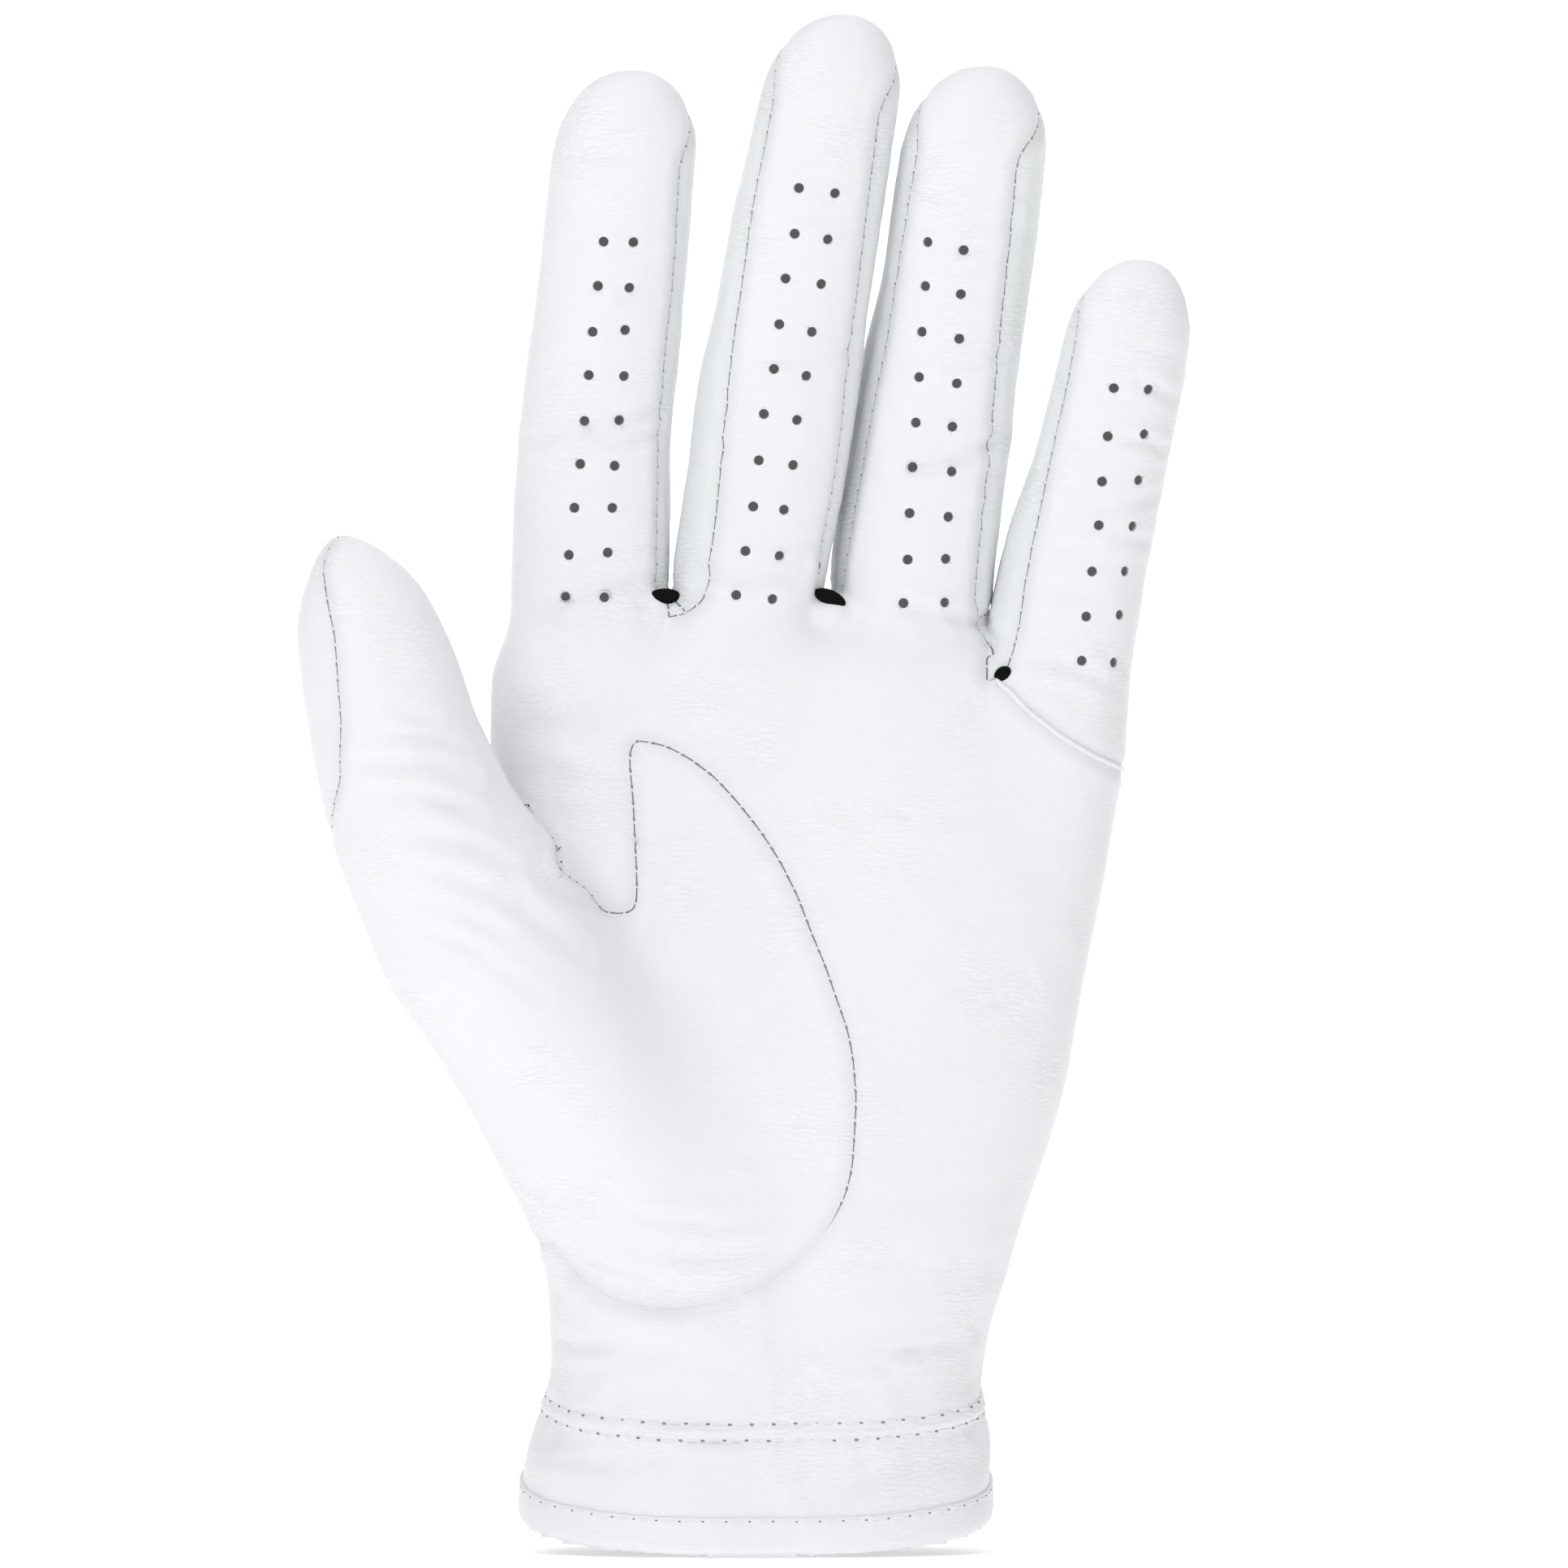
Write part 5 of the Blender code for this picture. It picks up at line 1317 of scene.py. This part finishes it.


# --- Crotch shade ---------------------------------------------------------------------------------
# A small black oval at the foot of each gap between two fingers is painted shade: the shadowed
# hollow of the crotch, made as a flattened black plug on the leather.

# Painted shade: near-black, for the shadowed hollow at the foot of each finger gap
CROTCH_SHADE_BLACK = plain_material("black_stretch", (0.004, 0.004, 0.0045), 0.95, 3200.0, 0.5)
CROTCH_SHADE_BLACK.node_tree.nodes["Principled BSDF"].inputs["Specular IOR Level"].default_value = 0.12
CROTCH_SHADE_HALF = {"index_middle": (2.35, 1.15, 4.0), "middle_ring": (2.4, 1.15, -24.0),
               "ring_little": (1.35, 1.05, 38.0)}
for name, (cx, cz) in CROTCHES.items():
    half_wide, half_high, tilt = CROTCH_SHADE_HALF[name]
    front = min(flat_tree.ray_cast(Vector((cx + dx, -60.0, cz + dz)), Vector((0, 1, 0)))[0][1]
                for dx, dz in ((-1.6, -0.6), (0.0, -0.9), (1.6, -0.6)))
    points, faces = [], []
    rings, around = 9, 28
    for i in range(rings):
        out, lift = math.sin(math.pi * (i + 0.5) / rings), math.cos(math.pi * (i + 0.5) / rings)
        for k in range(around):
            turn = 2 * math.pi * k / around
            wide, high = half_wide * out * math.cos(turn), half_high * out * math.sin(turn)
            lean = math.radians(tilt)
            points.append((cx + wide * math.cos(lean) - high * math.sin(lean), front + 0.55 - 0.75 * lift,
                           cz + wide * math.sin(lean) + high * math.cos(lean)))
    for i in range(rings - 1):
        for k in range(around):
            low, after = i * around, (k + 1) % around
            faces.append((low + k, low + after, low + around + after, low + around + k))
    faces.append(tuple(reversed(range(around))))
    faces.append(tuple((rings - 1) * around + k for k in range(around)))
    crotch_shade_plug = mesh_object(f"crotch_shade_oval_{name}", points, faces, (CROTCH_SHADE_BLACK,))
    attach(crotch_shade_plug, "hand")
    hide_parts(f"crotch_gusset_{name}")


# --- Little finger welt --------------------------------------------------------------------------
# A narrow folded strip of the same white leather is caught in the seam where the little finger's
# front joins the palm, and stands up a little from it.

def tube_along(line, ups, radius):
    """A closed round strip along a chain of points."""
    points, faces = [], []
    around = 8
    ahead = np.gradient(line, axis=0)
    ahead /= np.linalg.norm(ahead, axis=1)[:, None]
    for i, (middle, along, up) in enumerate(zip(line, ahead, ups)):
        side = np.cross(up, along)
        thick = radius * min(1.0, 0.35 + 0.4 * min(i, len(line) - 1 - i))
        for k in range(around):
            turn = 2 * math.pi * k / around
            points.append(middle + (side * math.cos(turn) + up * math.sin(turn)) * thick)
    for i in range(len(line) - 1):
        for k in range(around):
            after = (k + 1) % around
            low = i * around
            faces.append((low + k, low + after, low + around + after, low + around + k))
    faces.append(tuple(reversed(range(around))))
    faces.append(tuple(len(points) - around + k for k in range(around)))
    return np.array(points), faces


WELT_RADIUS = 0.42
for run in seams[("palm", "little_front")]:
    if len(run) < 20:
        continue
    line = leather[run]
    for _ in range(3):
        line[1:-1] = (line[:-2] + 2 * line[1:-1] + line[2:]) / 4
    line = line + flat_normal[run] * 0.16
    points, faces = tube_along(line, flat_normal[run], WELT_RADIUS)
    welt = mesh_object("little_finger_welt_strip", points, faces, (WHITE_LEATHER,))
    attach(welt, "hand")
    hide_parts("little_finger_welt")


# --- Wrist: elastic and its two rows of stitches ---------------------------------------------------
# A woven elastic inside the wrist is held by two rows of stitches. The elastic pulls the leather together
# at their needle holes, and the dark pits there are painted shade: a small dark disc beside each stitch.

def round_wrist(height, lift, turn):
    """The point at this height above the hem line, and the way out of the leather there."""
    way = Vector((math.cos(turn), math.sin(turn), WRIST_SLOPE * math.sin(turn)))
    hit, normal, _, _ = leather_tree.ray_cast(Vector((1.0, 0.0, max(height, 1.2))), way)
    if hit is None:
        hit, normal, _, _ = flat_tree.ray_cast(Vector((1.0, 0.0, max(height, 1.2))), way)
    normal = np.array(normal) * (1 if normal.dot(way) > 0 else -1)
    return np.array(hit) + normal * lift - np.array((0, 0, max(1.2 - height, 0.0))), normal


def wrist_line(height, lift, start, end, count):
    found = [round_wrist(height, lift, turn) for turn in np.linspace(start, end, count)]
    line, normals = (np.array(column) for column in zip(*found))
    for _ in range(2):
        line[1:-1] = (line[:-2] + 2 * line[1:-1] + line[2:]) / 4
        normals[1:-1] = normals[:-2] + 2 * normals[1:-1] + normals[2:]
    return line, normals / np.linalg.norm(normals, axis=1)[:, None]


WRIST_TURN = (math.radians(141.0) - 2 * math.pi, math.radians(36.0))
WRIST_PITCH, WRIST_STITCH, WRIST_THREAD = 3.1, 2.3, 0.17
for name, height in (("wrist_thread_lower", WRIST_LOW), ("wrist_thread_upper", WRIST_HIGH)):
    line, normals = wrist_line(height, 0.06, *WRIST_TURN, 260)
    spots, ahead = evenly(line, WRIST_PITCH)
    ups = np.array([normals[np.argmin(np.linalg.norm(line - spot, axis=1))] for spot in spots])
    points, faces = threads(spots, ahead, ups, WRIST_STITCH, WRIST_THREAD, 0.32)
    row = mesh_object(f"{name}_stitches", points, faces, (THREAD,))
    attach(row, "hand")
    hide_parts(name)
    # A small dark disc beside each stitch is painted shade in its needle hole
    painted_hole_shades["hand"] += [(*pit, 0.32, 0.18)
                     for pit in zip(spots + ahead * WRIST_PITCH / 2 - ups * 0.02, ahead, ups)]


def loft(sections):
    """Faces joining equal closed sections in order."""
    count = len(sections[0])
    faces = []
    for i in range(len(sections) - 1):
        for k in range(count):
            after = (k + 1) % count
            faces.append((i * count + k, i * count + after, (i + 1) * count + after, (i + 1) * count + k))
    faces.append(tuple(reversed(range(count))))
    faces.append(tuple((len(sections) - 1) * count + k for k in range(count)))
    return np.concatenate(sections), faces


ELASTIC = plain_material("woven_elastic", (0.74, 0.74, 0.75), 0.7, 1500.0, 0.8)
ELASTIC_PROFILE = [(14.2, -1.0), (18.0, -1.0), (18.1, -1.4), (18.0, -1.8), (14.2, -1.8), (14.1, -1.4)]
lines = [wrist_line(height, lift, *WRIST_TURN, 180)[0] for height, lift in ELASTIC_PROFILE]
points, faces = loft([np.array(section) for section in zip(*lines)])
elastic = mesh_object("wrist_elastic_band", points, faces, (ELASTIC,))
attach(elastic, "hand")
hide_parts("wrist_elastic")


# --- Hem and slit bindings -------------------------------------------------------------------------
# The cuff's edge and the slit at the back are bound with a folded strip of the same leather, sewn
# through with one row of stitches near its upper edge.

HEM_PROFILE = [(4.75, -0.1), (4.78, 0.34), (4.55, 0.50), (4.25, 0.42), (3.9, 0.50), (3.2, 0.68),
               (2.2, 0.80), (1.0, 0.78), (0.2, 0.60), (-0.2, 0.15), (-0.3, -0.45), (-0.1, -1.05),
               (0.6, -1.45), (3.0, -1.5), (3.9, -1.4), (4.1, -1.0)]
HEM_TURN = (math.radians(106.0) - 2 * math.pi, math.radians(69.0))
lines = [wrist_line(height, lift, *HEM_TURN, 300)[0] for height, lift in HEM_PROFILE]
sections = [np.array(section) for section in zip(*lines)]
for i, section in enumerate(sections):
    middle = section.mean(axis=0)
    swell = 1 + 0.05 * noise.noise(Vector((i * 0.31, 2.0, 0.0)))
    swell += 0.03 * noise.noise(Vector((i * 1.1, 5.0, 0.0)))
    sections[i] = middle + (section - middle) * swell
points, faces = loft(sections)
hem = mesh_object("hem_binding_strip", points, faces, (WHITE_LEATHER,))
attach(hem, "hand")
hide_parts("hem_binding")

SLIT_PROFILE = [(3.0, -0.1), (3.02, 0.3), (2.8, 0.46), (2.4, 0.36), (2.0, 0.46), (1.2, 0.60), (0.4, 0.60),
                (-0.2, 0.40), (-0.45, -0.1), (-0.45, -0.7), (-0.1, -1.2), (0.8, -1.4), (2.6, -1.4),
                (2.9, -1.0)]
path = [(SLIT_X + np.interp(z, (0, SLIT_TOP - SLIT_HEAD), (SLIT_FOOT, SLIT_HEAD)), z, 1.0, 0.0)
        for z in np.linspace(5.2, SLIT_TOP - SLIT_HEAD, 48)]
for turn in np.linspace(0, math.pi, 15)[1:-1]:
    out = (math.cos(turn), math.sin(turn))
    path.append((SLIT_X + SLIT_HEAD * out[0], SLIT_TOP - SLIT_HEAD + SLIT_HEAD * out[1], *out))
path += [(2 * SLIT_X - x, z, -ox, oz) for x, z, ox, oz in reversed(path[:48])]


def slit_point(x, z, ox, oz, across, lift):
    spot, normal = on_skin(x + ox * max(across, 0.0), z + oz * max(across, 0.0), back=True)
    return spot + normal * lift + np.array((ox, 0, oz)) * min(across, 0.0), normal


sections = [np.array([slit_point(*stop, across, lift)[0] for across, lift in SLIT_PROFILE])
            for stop in path]
points, faces = loft(sections)
slit_strip = mesh_object("slit_binding_strip", points, faces, (WHITE_LEATHER,))
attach(slit_strip, "hand")
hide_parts("slit_binding")

BINDING_PITCH, BINDING_STITCH = 3.3, 2.4
hem_line, hem_ups = wrist_line(4.25, 0.50, *HEM_TURN, 300)
slit_line, slit_ups = (np.array(column) for column in zip(*[slit_point(*stop, 2.4, 0.44) for stop in path]))
for name, line, normals in (("hem_thread", hem_line, hem_ups), ("slit_thread", slit_line, slit_ups)):
    spots, ahead = evenly(line, BINDING_PITCH)
    ups = np.array([normals[np.argmin(np.linalg.norm(line - spot, axis=1))] for spot in spots])
    points, faces = threads(spots, ahead, ups, BINDING_STITCH, 0.15, 0.30)
    row = mesh_object(name, points, faces, (THREAD,))
    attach(row, "hand")
    # A small dark disc beside each stitch is painted shade in its needle hole
    painted_hole_shades["hand"] += [(*pit, 0.22, 0.12)
                     for pit in zip(spots + ahead * BINDING_PITCH / 2 - ups * 0.05, ahead, ups)]

# Each painted needle-hole shade is a small flat dark disc lying in the leather
for stretch, found in painted_hole_shades.items():
    points, faces = [], []
    for spot, ahead, up, long, wide in found:
        side = np.cross(up, ahead)
        base = len(points)
        for size, lift in ((1.0, 0.0), (0.7, 0.05), (0.7, -0.1)):
            for k in range(8):
                turn = 2 * math.pi * k / 8
                points.append(spot + (ahead * long * math.cos(turn) + side * wide * math.sin(turn)) * size
                              + up * lift)
        for k in range(8):
            after = (k + 1) % 8
            faces.append((base + k, base + after, base + 8 + after, base + 8 + k))
            faces.append((base + after, base + k, base + 16 + k, base + 16 + after))
        faces.append(tuple(base + 8 + k for k in range(8)))
        faces.append(tuple(base + 16 + k for k in reversed(range(8))))
    needle_hole_shades = mesh_object(f"needle_hole_shades_{stretch}", np.array(points), faces, (NEEDLE_HOLE_SHADE,))
    place_on(needle_hole_shades, stretch)


# --- Closure at the back ---------------------------------------------------------------------------
# A leather tab, sewn down at its thumb end under a boxed patch, crosses the slit; stiff hooks under
# its free end grip a patch of loops. Inside the cuff is a small blank satin label.

def node_box(node):
    near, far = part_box(node)
    return near.x / MM, far.x / MM, near.z / MM, far.z / MM


def sheet_on_back(name, box, layer, corner, material, node, columns=40, rows=24, edge=0.45):
    """A flat piece that follows the back of the wrist, with rounded corners at the ends asked for."""
    left, right, low, high = box
    middle, half = (low + high) / 2, (high - low) / 2
    outline = []
    for share in np.linspace(0, 1, columns):
        x = left + (right - left) * (1 - math.cos(math.pi * share)) / 2
        cut = 0.0
        for end, sign in ((left, -1), (right, 1)):
            radius = corner[0] if sign < 0 else corner[1]
            inside = radius - abs(end - x)
            if radius and inside > 0:
                cut = max(cut, radius - math.sqrt(max(radius**2 - inside**2, 0.0)))
        outline.append((x, half - cut))
    points, faces = [], []
    for side in (1, 0):
        for x, tall in outline:
            for v in np.sin(np.linspace(-1, 1, rows) * math.pi / 2):
                spot, normal = on_skin(x, middle + v * tall, back=True)
                lowest, highest = layer(x)
                far = min(x - left, right - x, tall * (1 - abs(v))) / edge
                soft = (highest - lowest) / 2 * (1 - math.sqrt(max(0.0, 1 - (1 - min(far, 1.0)) ** 2)))
                points.append(spot + normal * (highest - soft if side else lowest + soft))
    size = columns * rows
    for i in range(columns - 1):
        for k in range(rows - 1):
            a, b, c, d = i * rows + k, (i + 1) * rows + k, (i + 1) * rows + k + 1, i * rows + k + 1
            faces.append((a, b, c, d))
            faces.append((size + d, size + c, size + b, size + a))
    rim = [i * rows for i in range(columns)] + [(columns - 1) * rows + k for k in range(1, rows)]
    rim += [i * rows + rows - 1 for i in range(columns - 2, -1, -1)] + list(range(rows - 2, 0, -1))
    for a, b in zip(rim, rim[1:] + rim[:1]):
        faces.append((b, a, size + a, size + b))
    piece = mesh_object(name, np.array(points), faces, (material,))
    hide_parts(node)
    return piece, outline, middle


TAB_BOX, ANCHOR_BOX, LOOP_BOX = node_box("closure_tab"), node_box("tab_anchor"), node_box("loop_patch")
HOOK_BOX, LABEL_BOX = node_box("tab_hooks"), node_box("size_label")
TAB_LIFT, TAB_THICK = 2.95, 1.0
TAB_FOOT = (0.45, 1.15)


def tab_layer(x):
    up = rise((x - TAB_BOX[0]) / 8.0)
    under, over = TAB_FOOT
    return under + (TAB_LIFT - under) * up, over + (TAB_LIFT + TAB_THICK - over) * up


HOOKS = plain_material("hook_strip", (0.66, 0.66, 0.67), 0.5, 900.0, 0.6, 0.0003)
LOOPS = plain_material("loop_pile", (0.70, 0.70, 0.71), 0.95, 1300.0, 1.0, 0.0005, sheen=0.5)
SATIN = plain_material("label_satin", (0.78, 0.78, 0.80), 0.3, 1800.0, 0.2)
tab, tab_outline, tab_middle = sheet_on_back("tab_leather", TAB_BOX, tab_layer, (0.0, 9.0), WHITE_LEATHER,
                                             "closure_tab", 64)
anchor, _, _ = sheet_on_back(
    "tab_anchor_patch", (ANCHOR_BOX[0], ANCHOR_BOX[1] + 0.8, ANCHOR_BOX[2], ANCHOR_BOX[3]),
    lambda x: (0.1, 1.45), (2.0, 0.0), WHITE_LEATHER, "tab_anchor", 24)
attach(anchor, "hand")
loops, _, _ = sheet_on_back("loop_pile_patch", LOOP_BOX, lambda x: (0.2, 1.25), (1.0, 6.0), LOOPS,
                            "loop_patch", 32)
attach(loops, "hand")
hooks, _, _ = sheet_on_back("hook_strip_base", HOOK_BOX, lambda x: (2.05, 2.75), (0.5, 7.5), HOOKS,
                            "tab_hooks", 32)
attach(hooks, "closure_tab")
label_patch, _, _ = sheet_on_back("blank_label", LABEL_BOX, lambda x: (-2.7, -2.35), (0.0, 0.0), SATIN,
                                  "size_label", 12, 12)
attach(label_patch, "hand")

points, faces = [], []
HOOK_PITCH, HOOK_LENGTH = 1.0, 0.5
for x in np.arange(HOOK_BOX[0] + 1, HOOK_BOX[1] - 1, HOOK_PITCH):
    for z in np.arange(HOOK_BOX[2] + 1, HOOK_BOX[3] - 1, HOOK_PITCH):
        if math.hypot(max(x - HOOK_BOX[1] + 8, 0),
                      max(abs(z - tab_middle) - (HOOK_BOX[3] - HOOK_BOX[2]) / 2 + 8, 0)) > 7:
            continue
        spot, normal = on_skin(x, z, back=True)
        base = len(points)
        for lift, bend in ((2.1, 0.0), (2.1 - HOOK_LENGTH * 0.7, 0.05), (2.1 - HOOK_LENGTH, 0.3)):
            for ox, oz in ((0.13, 0.13), (-0.13, 0.13), (-0.13, -0.13), (0.13, -0.13)):
                points.append(spot + normal * lift + np.array((ox, 0, oz + bend)))
        for i in (0, 4):
            for k in range(4):
                after = (k + 1) % 4
                faces.append((base + i + k, base + i + after, base + i + 4 + after, base + i + 4 + k))
        faces.append((base + 8, base + 9, base + 10, base + 11))
        faces.append((base + 3, base + 2, base + 1, base))
hook_field = mesh_object("hook_field", np.array(points), faces, (HOOKS,))
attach(hook_field, "closure_tab")

STITCH_INSET = 1.4
top = [(x, tab_middle + tall - STITCH_INSET) for x, tall in tab_outline
       if TAB_BOX[0] + 0.6 < x < TAB_BOX[1] - STITCH_INSET - 0.3]
round_line = top + [(x, 2 * tab_middle - z) for x, z in reversed(top)]
line, normals = [], []
for x, z in round_line:
    spot, normal = on_skin(x, z, back=True)
    line.append(spot + normal * (tab_layer(x)[1] + 0.02))
    normals.append(normal)
left, right, low, high = ANCHOR_BOX
box_line, box_normals = [], []
for x, z in ((left + 1.3, low + 1.3), (right - 0.4, low + 1.3), (right - 0.4, high - 1.3),
             (left + 1.3, high - 1.3),
             (left + 1.3, low + 1.3), (right - 0.4, high - 1.3), (right - 0.4, low + 1.3),
             (left + 1.3, high - 1.3)):
    spot, normal = on_skin(x, z, back=True)
    box_line.append(spot + normal * 1.47)
    box_normals.append(normal)
for name, chain, ups_of in (("tab_thread", line, normals), ("anchor_thread", box_line, box_normals)):
    chain, ups_of = np.array(chain), np.array(ups_of)
    spots, ahead = evenly(chain, 2.9)
    ups = np.array([ups_of[np.argmin(np.linalg.norm(chain - spot, axis=1))] for spot in spots])
    points, faces = threads(spots, ahead, ups, 2.2, 0.16, 0.25)
    row = mesh_object(name, points, faces, (THREAD,))
    if name == "tab_thread":
        tab_thread = row
    else:
        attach(row, "hand")
for piece in (tab, tab_thread):
    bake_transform(piece)
